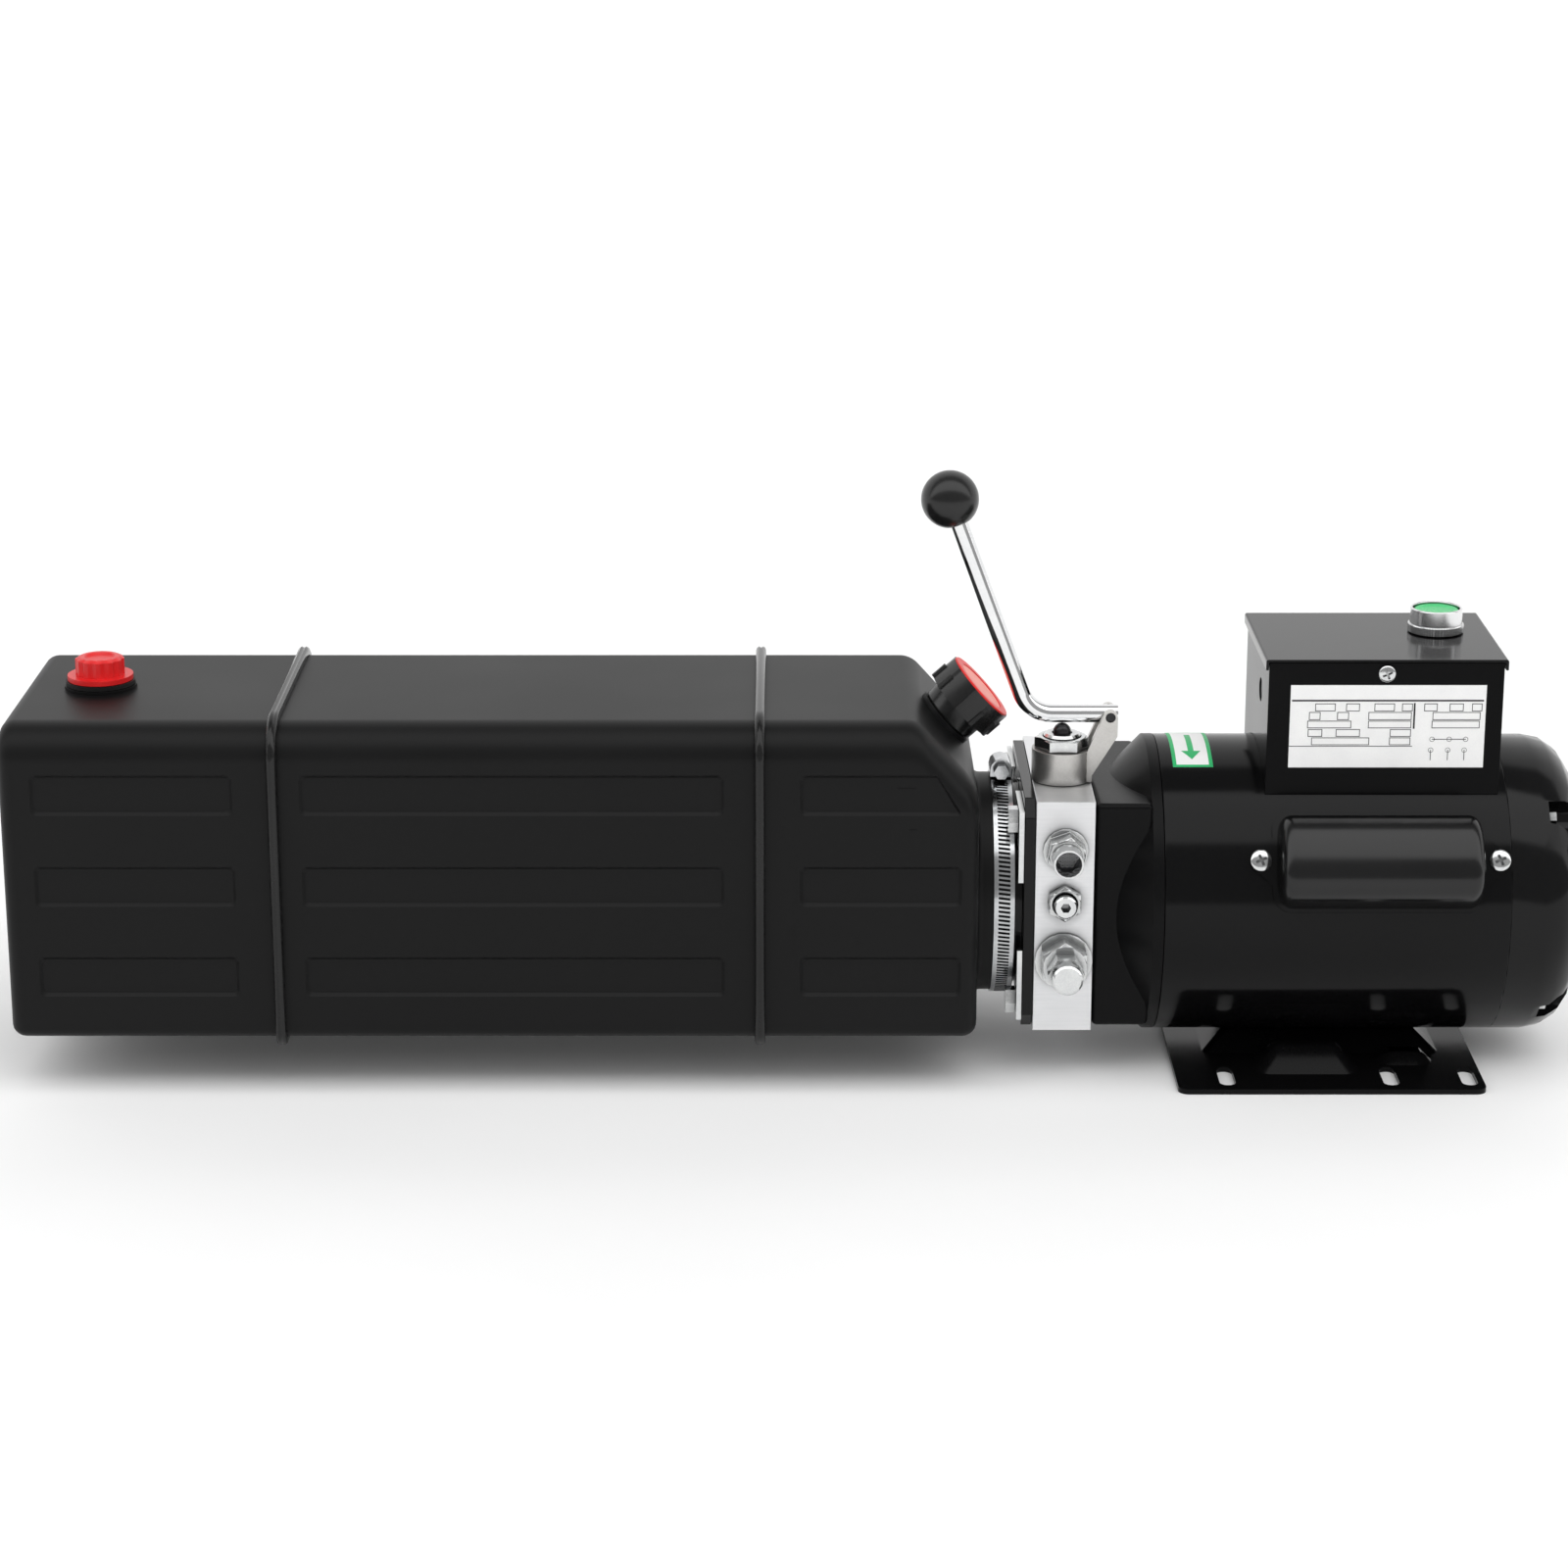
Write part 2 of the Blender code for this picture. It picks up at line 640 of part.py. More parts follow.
def neck_form(inside):
    # The round neck with a fillet at the tank, whose rings rise a little to stay above the tank's floor.
    sections = [(NECK_RADIUS + NECK_FLARE, -inside, NECK_FLARE / 2)]
    for step in range(3):
        turn = math.pi / 2 * (1 - step / 2)
        out = NECK_FLARE * (1 - math.cos(turn))
        sections.append((NECK_RADIUS + out, NECK_FLARE * (1 - math.sin(turn)), out / 2))
    sections.append((NECK_RADIUS, NECK_LENGTH, 0.0))
    loops = [([(a, b + rise) for a, b in circle(radius, LARGE)], along) for radius, along, rise in sections]
    return stacked(loops, "X")


def make_tank():
    tank = piece("tank", tank_form(0.0, TANK_EDGE_STEPS), "tank_plastic", (tank_end, 0.0, 0.0))
    inside = TANK_EDGE_RADIUS + TANK_WALL
    join(tank, neck_form(inside))
    boss = [
        (FILLER_BOSS_RADIUS, -2 * TANK_WALL),
        (FILLER_BOSS_RADIUS, FILLER_BOSS_HEIGHT),
        (FILLER_NECK_RADIUS, FILLER_BOSS_HEIGHT),
        (FILLER_NECK_RADIUS, FILLER_NECK_HEIGHT),
    ]
    join(tank, turned(boss, SMALL), filler_place, filler_turn)
    breather_boss = [(BREATHER_BOSS_RADIUS, -TANK_WALL / 2), (BREATHER_BOSS_RADIUS, BREATHER_BOSS_HEIGHT)]
    join(tank, turned(breather_boss, SMALL), breather_place)
    cut(tank, tank_form(TANK_WALL, 1))
    bore = NECK_RADIUS - TANK_WALL
    cut(tank, turned([(bore, -inside), (bore, NECK_LENGTH + PAST)], LARGE, "X"))
    filler_bore = [(FILLER_BORE, -3 * TANK_WALL), (FILLER_BORE, FILLER_NECK_HEIGHT + PAST)]
    cut(tank, turned(filler_bore, SMALL), filler_place, filler_turn)
    breather_bore = [(BREATHER_BORE, -2 * TANK_WALL), (BREATHER_BORE, BREATHER_BOSS_HEIGHT + PAST)]
    cut(tank, turned(breather_bore, SMALL), breather_place)
    cut(tank, panel_tools())


def hoop_shape():
    # A flat-backed band with two raised ribs, carried round the tank's rounded section.
    half = HOOP_WIDTH / 2
    section = [
        (-half, 0.0),
        (-half, 0.7 * HOOP_HEIGHT),
        (-0.55 * half, HOOP_HEIGHT),
        (0.0, 0.72 * HOOP_HEIGHT),
        (0.55 * half, HOOP_HEIGHT),
        (half, 0.7 * HOOP_HEIGHT),
        (half, 0.0),
    ]
    depth = TANK_DEPTH / 2 - TANK_EDGE_RADIUS
    top = TANK_ABOVE_AXIS - TANK_EDGE_RADIUS
    floor = -TANK_BELOW_AXIS + TANK_EDGE_RADIUS
    loops = []
    for quarter, middle in enumerate(((depth, top), (-depth, top), (-depth, floor), (depth, floor))):
        for step in range(TANK_EDGE_STEPS + 1):
            turn = (quarter + step / TANK_EDGE_STEPS) * math.pi / 2
            out = (math.cos(turn), math.sin(turn))
            reach = TANK_EDGE_RADIUS + FIT
            loops.append([
                (x, middle[0] + (reach + rise) * out[0], middle[1] + (reach + rise) * out[1])
                for x, rise in section
            ])
    return loft(loops, closed=True)


def make_hoops():
    left = tank_start + HOOP_FROM_END
    piece("tank_hoop_left", hoop_shape(), "hoop_rubber", (left, 0.0, 0.0))
    piece("tank_hoop_right", hoop_shape(), "hoop_rubber", (left + HOOP_SPACING, 0.0, 0.0))


def make_breather():
    seal_start = BREATHER_BOSS_HEIGHT + FIT
    seal_end = seal_start + BREATHER_SEAL_HEIGHT
    bore = BREATHER_BORE + FIT
    outer = BREATHER_SEAL_RADIUS
    ring = [(bore, seal_start), (bore, seal_end), (outer, seal_end), (outer, seal_start)]
    piece("breather_seal", turned(ring, SMALL, closed=True), "black_rubber", breather_place)
    base = seal_end + FIT
    shoulder = base + BREATHER_FLANGE_HEIGHT
    crown = shoulder + BREATHER_KNOB_HEIGHT
    count = 3 * BREATHER_FLUTES
    stem = BREATHER_BORE - RUNNING
    grip = fluted(BREATHER_KNOB_RADIUS, BREATHER_KNOB_RADIUS - BREATHER_FLUTE_DEPTH, BREATHER_FLUTES)
    dish = 0.64 * BREATHER_KNOB_RADIUS
    sections = [
        (circle(stem, count), base - BREATHER_STEM_LENGTH),
        (circle(stem, count), base),
        (circle(BREATHER_FLANGE_RADIUS, count), base),
        (circle(BREATHER_FLANGE_RADIUS, count), shoulder),
        (grip, shoulder),
        (grip, crown - BREATHER_FLUTE_DEPTH),
        (circle(BREATHER_KNOB_RADIUS - 2 * BREATHER_FLUTE_DEPTH, count), crown),
        (circle(dish, count), crown),
        (circle(dish - BREATHER_FLUTE_DEPTH, count), crown - BREATHER_FLUTE_DEPTH),
    ]
    piece("breather_cap", stacked(sections), "red_plastic", breather_place)


def make_filler_cap():
    ring_end = FILLER_CAP_START - FIT
    bore = FILLER_NECK_RADIUS + RUNNING
    ring = [
        (bore, FILLER_RING_START),
        (bore, ring_end),
        (FILLER_RING_RADIUS, ring_end),
        (FILLER_RING_RADIUS, FILLER_RING_START),
    ]
    piece("filler_cap_ring", turned(ring, SMALL, closed=True), "black_plastic", filler_place, filler_turn)
    top = FILLER_CAP_START + FILLER_CAP_HEIGHT
    rib_top = FILLER_CAP_START + FILLER_RIB_HEIGHT
    grip = ribbed(FILLER_CAP_RADIUS, FILLER_RIB_DEPTH, FILLER_RIBS, FILLER_RIB_WIDTH)
    plain = ribbed(FILLER_CAP_RADIUS, 0.0, FILLER_RIBS, FILLER_RIB_WIDTH)
    rim = FILLER_CAP_RADIUS - FILLER_DISC_RADIUS - FIT
    seat = inset(plain, rim)
    sections = [
        (grip, FILLER_CAP_START),
        (grip, rib_top),
        (plain, rib_top),
        (plain, top),
        (seat, top),
        (seat, top - FILLER_DISC_SEAT),
    ]
    cap = piece("filler_cap", stacked(sections), "black_plastic", filler_place, filler_turn)
    cut(cap, turned([(bore, FILLER_CAP_START - PAST), (bore, top - FILLER_CAP_TOP)], SMALL))
    base = top - FILLER_DISC_SEAT + FIT
    face = base + FILLER_DISC_THICKNESS
    step = FILLER_DISC_THICKNESS / 3
    disc = [
        (FILLER_DISC_RADIUS, base),
        (FILLER_DISC_RADIUS, face - step),
        (FILLER_DISC_RADIUS - step, face),
        (0.76 * FILLER_DISC_RADIUS, face),
        (0.72 * FILLER_DISC_RADIUS, face - step),
    ]
    piece("filler_cap_disc", turned(disc, MEDIUM), "orange_plastic", filler_place, filler_turn)


# Clamp, flange, corner plates and bolts between tank and block
def make_clamp():
    end = neck_end - CLAMP_FROM_NECK_END
    start = end - CLAMP_WIDTH
    inner = NECK_RADIUS + FIT
    outer = inner + CLAMP_THICKNESS
    band = [(inner, start), (inner, end), (outer, end), (outer, start)]
    piece("clamp_band", turned(band, LARGE, "X", closed=True), "zinc")
    half = HOUSING_WIDTH / 2
    roof = arc((0.0, HOUSING_WALL_HEIGHT), half, 0.0, math.pi, 6)
    outline = [(-half, 0.0), (half, 0.0)] + roof
    place = ((start + end) / 2, 0.0, outer + FIT)
    shape = extruded(outline, -HOUSING_LENGTH / 2, HOUSING_LENGTH / 2, "Y")
    housing = piece("clamp_housing", shape, "zinc", place)
    bore = WORM_RADIUS + FIT
    reach = HOUSING_LENGTH / 2 + PAST
    cut(housing, moved(turned([(bore, -reach), (bore, reach)], FINE, "Y"), z=HOUSING_WALL_HEIGHT))
    seat = -HOUSING_LENGTH / 2 - FIT
    sections = [
        (hexagon(WORM_FLATS, FINE), seat - WORM_HEAD),
        (hexagon(WORM_FLATS, FINE), seat),
        (circle(WORM_RADIUS, FINE), seat),
        (circle(WORM_RADIUS, FINE), HOUSING_LENGTH / 2),
    ]
    piece("clamp_screw", stacked(sections, "Y"), "zinc", (place[0], 0.0, place[2] + HOUSING_WALL_HEIGHT))


def flange_bolt_tools(start, end):
    radius = FLANGE_BOLT_RADIUS + FIT
    shapes = []
    for side, rise in diagonals:
        hole = turned([(radius, start), (radius, end)], FINE, "X")
        shapes.append(moved(hole, y=side * FLANGE_BOLT_OFFSET, z=rise * FLANGE_BOLT_OFFSET))
    return together(shapes)


def make_flange():
    half = BLOCK_SIZE / 2
    near = half - FLANGE_CORNER
    outline = [(half, -near), (half, near), (near, half), (-near, half)]
    outline += [(-a, -b) for a, b in outline]
    plate = extruded(outline, 0.0, FLANGE_THICKNESS - FIT, "X")
    flange = piece("tank_flange", plate, "black_paint", (flange_start, 0.0, 0.0))
    spigot = NECK_RADIUS - TANK_WALL - FIT
    join(flange, turned([(spigot, -SPIGOT_LENGTH), (spigot, FLANGE_THICKNESS / 2)], MEDIUM, "X"))
    bore = spigot - SPIGOT_WALL
    cut(flange, turned([(bore, -SPIGOT_LENGTH - PAST), (bore, FLANGE_THICKNESS + PAST)], MEDIUM, "X"))
    cut(flange, flange_bolt_tools(-PAST, FLANGE_THICKNESS + PAST))


def corner_plate_outline(side, rise):
    edge = BLOCK_SIZE / 2 - PLATE_EDGE_GAP
    top = BLOCK_SIZE / 2 - PLATE_TOP_GAP
    round_edge = NECK_RADIUS + PLATE_CLEARANCE
    low = math.asin(PLATE_INNER / round_edge)
    high = math.asin(top / round_edge)
    outline = [(edge, PLATE_INNER), (edge, top)] + arc((0.0, 0.0), round_edge, high, low, 5)
    return [(side * a, rise * b) for a, b in outline]


def make_corner_plates():
    hole = FLANGE_BOLT_RADIUS + FIT
    for number, (side, rise) in enumerate(diagonals, 1):
        shape = extruded(corner_plate_outline(side, rise), 0.0, PLATE_THICKNESS - FIT, "X")
        plate = piece(f"corner_plate_{number}", shape, "zinc", (plate_start, 0.0, 0.0))
        tool = turned([(hole, -PAST), (hole, PLATE_THICKNESS + PAST)], FINE, "X")
        cut(plate, moved(tool, y=side * FLANGE_BOLT_OFFSET, z=rise * FLANGE_BOLT_OFFSET))
        seat = -FIT
        end = PLATE_THICKNESS + FLANGE_THICKNESS + FLANGE_BOLT_ENTRY
        sections = [
            (hexagon(FLANGE_BOLT_FLATS, FINE), seat - FLANGE_BOLT_HEAD),
            (hexagon(FLANGE_BOLT_FLATS, FINE), seat),
            (circle(FLANGE_BOLT_RADIUS, FINE), seat),
            (circle(FLANGE_BOLT_RADIUS, FINE), end),
        ]
        place = (plate_start, side * FLANGE_BOLT_OFFSET, rise * FLANGE_BOLT_OFFSET)
        piece(f"flange_bolt_{number}", stacked(sections, "X"), "zinc", place)


# Valve block and fittings
def make_block():
    shape = extruded(rectangle(BLOCK_SIZE, BLOCK_SIZE), 0.0, BLOCK_THICKNESS - FIT, "X")
    block = piece("valve_block", shape, "aluminium", (block_start, 0.0, 0.0))
    cut(block, turned([(SHAFT_BORE, -PAST), (SHAFT_BORE, BLOCK_THICKNESS + PAST)], FINE, "X"))
    ports = [
        (OUTLET_HEIGHT, OUTLET_SHANK),
        (RELIEF_HEIGHT, RELIEF_SHANK),
        (CHECK_HEIGHT, CHECK_SHANK),
    ]
    tools = []
    for height, shank in ports:
        tool = turned([(shank + FIT, -PAST), (shank + FIT, PORT_ENTRY + FIT)], SMALL, "Y")
        tools.append(moved(tool, block_middle - block_start, block_front, height))
    cut(block, together(tools))
    pocket = CARTRIDGE_RADIUS + FIT
    cut(block, turned([(pocket, -CARTRIDGE_DEPTH - FIT), (pocket, PAST)], SMALL), release_place)
    depth = FLANGE_BOLT_ENTRY + FIT
    cut(block, flange_bolt_tools(-PAST, depth))


def make_outlet():
    washer = 0.0015
    mouth_start = 0.0125
    ease = 0.001
    sections = [
        (circle(OUTLET_SHANK, SMALL), PORT_ENTRY),
        (circle(OUTLET_SHANK, SMALL), -FIT),
        (circle(OUTLET_WASHER, SMALL), -FIT),
        (circle(OUTLET_WASHER, SMALL), -washer),
        (hexagon(OUTLET_FLATS, SMALL, OUTLET_CORNER), -washer),
        (hexagon(OUTLET_FLATS, SMALL, OUTLET_CORNER), -mouth_start + ease),
        (circle(OUTLET_FLATS / 2, SMALL), -mouth_start),
        (circle(OUTLET_MOUTH, SMALL), -mouth_start),
        (circle(OUTLET_MOUTH, SMALL), -OUTLET_REACH),
        (circle(OUTLET_BORE, SMALL), -OUTLET_REACH),
        (circle(OUTLET_BORE, SMALL), 0.0),
    ]
    piece("outlet_fitting", stacked(sections, "Y"), "zinc", (block_middle, block_front, OUTLET_HEIGHT))


def make_relief_valve():
    place = (block_middle, block_front, RELIEF_HEIGHT)
    bore = RELIEF_SCREW_RADIUS + RUNNING
    ease = 0.0008
    start = first_point(CORNER_UP, SMALL)
    sections = [
        (circle(RELIEF_SHANK, SMALL), PORT_ENTRY),
        (circle(RELIEF_SHANK, SMALL), -FIT),
        (hexagon(RELIEF_FLATS, SMALL, CORNER_UP), -FIT),
        (hexagon(RELIEF_FLATS, SMALL, CORNER_UP), -RELIEF_NUT + ease),
        (circle(RELIEF_FLATS / 2 - ease / 2, SMALL, start), -RELIEF_NUT),
        (circle(bore, SMALL), -RELIEF_NUT),
        (circle(bore, SMALL), PORT_ENTRY - 2 * ease),
    ]
    piece("relief_valve_body", stacked(sections, "Y"), "zinc", place)
    inner = PORT_ENTRY - 4 * ease
    socket = 0.004
    sections = [
        (circle(RELIEF_SCREW_RADIUS, SMALL), inner),
        (circle(RELIEF_SCREW_RADIUS, SMALL), -RELIEF_REACH + ease),
        (circle(RELIEF_SCREW_RADIUS - ease, SMALL), -RELIEF_REACH),
        (hexagon(RELIEF_SOCKET_FLATS, SMALL), -RELIEF_REACH),
        (hexagon(RELIEF_SOCKET_FLATS, SMALL), -RELIEF_REACH + socket),
    ]
    piece("relief_screw", stacked(sections, "Y"), "zinc", place)


def make_check_valve():
    washer = 0.002
    large_end = 0.0135
    small_end = 0.0255
    ease = 0.0012
    start = first_point(CORNER_UP, SMALL)
    sections = [
        (circle(CHECK_SHANK, SMALL), PORT_ENTRY),
        (circle(CHECK_SHANK, SMALL), -FIT),
        (circle(CHECK_WASHER, SMALL), -FIT),
        (circle(CHECK_WASHER, SMALL), -washer),
        (hexagon(CHECK_FLATS, SMALL, CORNER_UP), -washer),
        (hexagon(CHECK_FLATS, SMALL, CORNER_UP), -large_end + ease),
        (circle(CHECK_FLATS / 2, SMALL, start), -large_end),
        (hexagon(CHECK_END_FLATS, SMALL), -large_end),
        (hexagon(CHECK_END_FLATS, SMALL), -small_end),
        (circle(CHECK_END_RADIUS, SMALL), -small_end),
        (circle(CHECK_END_RADIUS, SMALL), -CHECK_REACH + ease),
        (circle(CHECK_END_RADIUS - ease, SMALL), -CHECK_REACH),
    ]
    piece("check_valve_plug", stacked(sections, "Y"), "zinc", (block_middle, block_front, CHECK_HEIGHT))


# Release valve and lever
def make_release_valve():
    bore = PLUNGER_RADIUS + RUNNING
    bottom = PLUNGER_TIP - PLUNGER_LENGTH - 2 * (STEM_CHAMFER + RUNNING)
    stem = [
        (CARTRIDGE_RADIUS, -CARTRIDGE_DEPTH),
        (CARTRIDGE_RADIUS, FIT),
        (STEM_RADIUS, FIT),
        (STEM_RADIUS, STEM_HEIGHT - STEM_CHAMFER),
        (STEM_RADIUS - STEM_CHAMFER, STEM_HEIGHT),
        (bore, STEM_HEIGHT),
        (bore, bottom - 2 * STEM_CHAMFER),
    ]
    piece("release_valve_body", turned(stem, SMALL), "zinc", release_place)
    centre = PLUNGER_TIP - PLUNGER_RADIUS
    dome = arc((0.0, centre), PLUNGER_RADIUS, 0.0, 0.46 * math.pi, 4)
    plunger = [(PLUNGER_RADIUS, PLUNGER_TIP - PLUNGER_LENGTH)] + dome
    piece("release_plunger", turned(plunger, FINE), "black_oxide", release_place)
    start = FIT + BRACKET_HEIGHT + FIT
    end = start + NUT_HEIGHT
    ease = NUT_HEIGHT / 7
    hole = STEM_RADIUS + FIT
    sections = [
        (circle(hole, SMALL), start),
        (hexagon(NUT_FLATS, SMALL), start),
        (hexagon(NUT_FLATS, SMALL), end - ease),
        (circle(NUT_FLATS / 2, SMALL), end),
        (circle(hole, SMALL), end),
    ]
    piece("lock_nut", stacked(sections, closed=True), "zinc", release_place)


def ear_outline():
    # One arm of the fork, from the foot ring up to the rounded eye at the pivot, in XZ.
    eye = (PIVOT_FROM_VALVE, pivot_place[2] - block_top)
    back = BRACKET_RADIUS - FIT
    inside = BRACKET_RADIUS - 2 * EAR_THICKNESS
    outline = [(inside, 2 * FIT), (back, 2 * FIT), (back, EAR_ROOT)]
    outline.append((eye[0] + EAR_ROUND, eye[1] - EAR_HEEL))
    outline += arc(eye, EAR_ROUND, 0.0, 0.86 * math.pi, 5)
    outline.append((EAR_FRONT, BRACKET_HEIGHT))
    outline.append((inside, BRACKET_HEIGHT))
    return outline


def make_lever():
    ring = turned([(BRACKET_RADIUS, FIT), (BRACKET_RADIUS, FIT + BRACKET_HEIGHT)], MEDIUM)
    bracket = piece("lever_bracket", ring, "cast_zinc", release_place)
    inner = LEVER_RADIUS + RUNNING
    outer = inner + EAR_THICKNESS
    for side in (-1, 1):
        join(bracket, extruded(ear_outline(), side * inner, side * outer, "Y"))
    bore = STEM_RADIUS + FIT
    cut(bracket, turned([(bore, -PAST), (bore, BRACKET_HEIGHT + PAST)], SMALL))
    hole = PIN_RADIUS + FIT
    reach = outer + PAST
    cut(bracket, turned([(hole, -reach), (hole, reach)], FINE, "Y"), pivot_place)
    half = outer - PIN_SINK
    pin = turned([(PIN_RADIUS, -half), (PIN_RADIUS, half)], FINE, "Y")
    piece("lever_pin", pin, "black_oxide", pivot_place)
    corner = (-LEVER_CORNER, 0.0)
    lean = (-math.sin(LEVER_LEAN), math.cos(LEVER_LEAN))
    grip = KNOB_BORE_DEPTH - math.sqrt(KNOB_RADIUS ** 2 - KNOB_FLAT ** 2) - FIT
    reach = LEVER_ARM + grip
    tip = (corner[0] + reach * lean[0], corner[1] + reach * lean[1])
    path = bent_path((LEVER_TAIL, 0.0), corner, tip, LEVER_BEND, 5)
    lever = piece("lever", tube_along(path, LEVER_RADIUS, FINE), "chrome", pivot_place)
    eye = PIN_RADIUS + RUNNING
    cut(lever, turned([(eye, -inner), (eye, inner)], FINE, "Y"))
    knob_place = (
        pivot_place[0] + corner[0] + LEVER_ARM * lean[0],
        RELEASE_OFFSET,
        pivot_place[2] + corner[1] + LEVER_ARM * lean[1],
    )
    make_knob(knob_place)


def make_knob(place):
    bore = LEVER_RADIUS + FIT
    opening = math.asin(KNOB_FLAT / KNOB_RADIUS)
    bottom = -KNOB_RADIUS * math.cos(opening)
    ball = arc((0.0, 0.0), KNOB_RADIUS, opening - math.pi / 2, 0.47 * math.pi, 7)
    profile = [(bore, bottom + KNOB_BORE_DEPTH), (bore, bottom)] + ball
    piece("lever_knob", turned(profile, SMALL), "black_plastic", place, (0.0, -LEVER_LEAN, 0.0))


# Gear pump
def involute_point(base, radius):
    roll = math.sqrt((radius / base) ** 2 - 1.0)
    return roll - math.atan(roll)


def gear_outline(phase):
    pitch = gear_distance / 2
    base = pitch * math.cos(PRESSURE_ANGLE)
    root = pitch - GEAR_DEDENDUM
    half_tooth = math.pi / (2 * GEAR_TEETH) - GEAR_BACKLASH / 2 / pitch
    widen = half_tooth + involute_point(base, pitch)
    flank = [(root, widen), (base, widen), (gear_outer, widen - involute_point(base, gear_outer))]
    points = []
    for tooth in range(GEAR_TEETH):
        middle = phase + 2 * math.pi * tooth / GEAR_TEETH
        sides = [(radius, middle - half) for radius, half in flank]
        sides += [(radius, middle + half) for radius, half in reversed(flank)]
        points += [(radius * math.cos(turn), radius * math.sin(turn)) for radius, turn in sides]
    return points


def pump_outline(radius):
    upper = arc((0.0, 0.0), radius, 0.0, math.pi, 5)
    lower = arc((0.0, -gear_distance), radius, math.pi, 2 * math.pi, 5)
    return upper + lower


def make_pump():
    body_radius = gear_outer + RUNNING + PUMP_WALL
    chamber = gear_outer + RUNNING
    depth = GEAR_WIDTH + 2 * FIT
    shape = extruded(pump_outline(body_radius), 0.0, PUMP_LENGTH, "X")
    body = piece("pump_body", shape, "cast_iron", (pump_start, 0.0, 0.0))
    bore = PUMP_SHAFT + RUNNING
    journal = JOURNAL_LENGTH + FIT
    for drop in (0.0, -gear_distance):
        cut(body, moved(turned([(chamber, -PAST), (chamber, depth)], FINE, "X"), z=drop))
    cut(body, turned([(bore, 0.0), (bore, PUMP_LENGTH + PAST)], FINE, "X"))
    cut(body, moved(turned([(bore, 0.0), (bore, depth + journal)], FINE, "X"), z=-gear_distance))
    cover_start = pump_start - FIT - PUMP_COVER
    lid = extruded(pump_outline(body_radius), 0.0, PUMP_COVER, "X")
    cover = piece("pump_cover", lid, "cast_iron", (cover_start, 0.0, 0.0))
    for drop in (0.0, -gear_distance):
        pocket = turned([(bore, PUMP_COVER - journal), (bore, PUMP_COVER + PAST)], FINE, "X")
        cut(cover, moved(pocket, z=drop))
    port = SUCTION_RADIUS + FIT
    cut(cover, moved(turned([(port, -PAST), (port, SUCTION_SEAT + FIT)], FINE, "X"), z=-gear_distance / 2))
    make_gears()
    make_suction(cover_start)


def make_gears():
    start = FIT
    end = start + GEAR_WIDTH
    shaft_end = bell_start + SOCKET_SETBACK + SOCKET_DEPTH - RUNNING - pump_start
    driven_end = end + JOURNAL_LENGTH
    for name, drop, finish, right_end, phase in (
        ("drive_gear", 0.0, "steel", shaft_end, -math.pi / 2),
        ("driven_gear", -gear_distance, "steel", driven_end, math.pi / 2 + math.pi / GEAR_TEETH),
    ):
        gear = piece(name, extruded(gear_outline(phase), start, end, "X"), finish, (pump_start, 0.0, drop))
        shaft = [(PUMP_SHAFT, start - JOURNAL_LENGTH), (PUMP_SHAFT, right_end)]
        join(gear, turned(shaft, COARSE, "X"))


def make_suction(cover_start):
    port_height = -gear_distance / 2
    filter_floor = -TANK_BELOW_AXIS + TANK_WALL + FILTER_FLOOR_GAP
    filter_top = filter_floor + FILTER_HEIGHT
    start = (cover_start + SUCTION_SEAT, port_height)
    corner = (cover_start - SUCTION_RUN, port_height)
    end = (corner[0], filter_top - SUCTION_SEAT + FIT)
    path = bent_path(start, corner, end, SUCTION_BEND, 3)
    piece("suction_tube", tube_along(path, SUCTION_RADIUS, COARSE, SUCTION_BORE), "steel")
    port = SUCTION_RADIUS + FIT
    ease = FILTER_HEIGHT / 6
    profile = [
        (FILTER_RADIUS - ease, filter_floor),
        (FILTER_RADIUS, filter_floor + ease),
        (FILTER_RADIUS, filter_top - ease),
        (FILTER_RADIUS - ease, filter_top),
        (port, filter_top),
        (port, filter_top - SUCTION_SEAT),
    ]
    piece("suction_filter", turned(profile, FINE), "zinc", (corner[0], 0.0, 0.0))


# Motor
def through_bolt_tools(radius, start, end, count):
    offset = BOLT_CIRCLE / math.sqrt(2)
    shapes = []
    for side, rise in diagonals:
        tool = turned([(radius, start), (radius, end)], count, "X")
        shapes.append(moved(tool, y=side * offset, z=rise * offset))
    return together(shapes)


def make_front_bell():
    length = FRONT_BELL_LENGTH - FIT
    rim_start = FRONT_BELL_LENGTH - BELL_RIM
    square = extruded(rectangle(BELL_SQUARE, BELL_SQUARE), 0.0, rim_start, "X")
    bell = piece("front_end_bell", softened(square, BELL_EDGE, 2), "black_paint", (bell_start, 0.0, 0.0))
    cone_start = rim_start - CONE_RISE
    cone = [(SHELL_RADIUS - CONE_RISE, cone_start), (SHELL_RADIUS, rim_start), (SHELL_RADIUS, length)]
    join(bell, turned(cone, LARGE, "X"))
    hollow = SOCKET_RADIUS + 2 * RUNNING
    seat = BEARING_RADIUS + FIT
    seat_start = length - FRONT_RECESS_DEPTH - BEARING_WIDTH - FIT
    bore = [
        (hollow, -PAST),
        (hollow, seat_start),
        (seat, seat_start),
        (seat, length - FRONT_RECESS_DEPTH),
        (BELL_RECESS_RADIUS, length - FRONT_RECESS_DEPTH),
        (BELL_RECESS_RADIUS, length + PAST),
    ]
    cut(bell, turned(bore, FINE, "X"))
    hole = THROUGH_BOLT_RADIUS + FIT
    cut(bell, through_bolt_tools(hole, length - THROUGH_BOLT_ENTRY - FIT, length + PAST, COARSE))
    make_bearing("front_bearing", bell_start + seat_start + FIT, SHAFT_RADIUS)


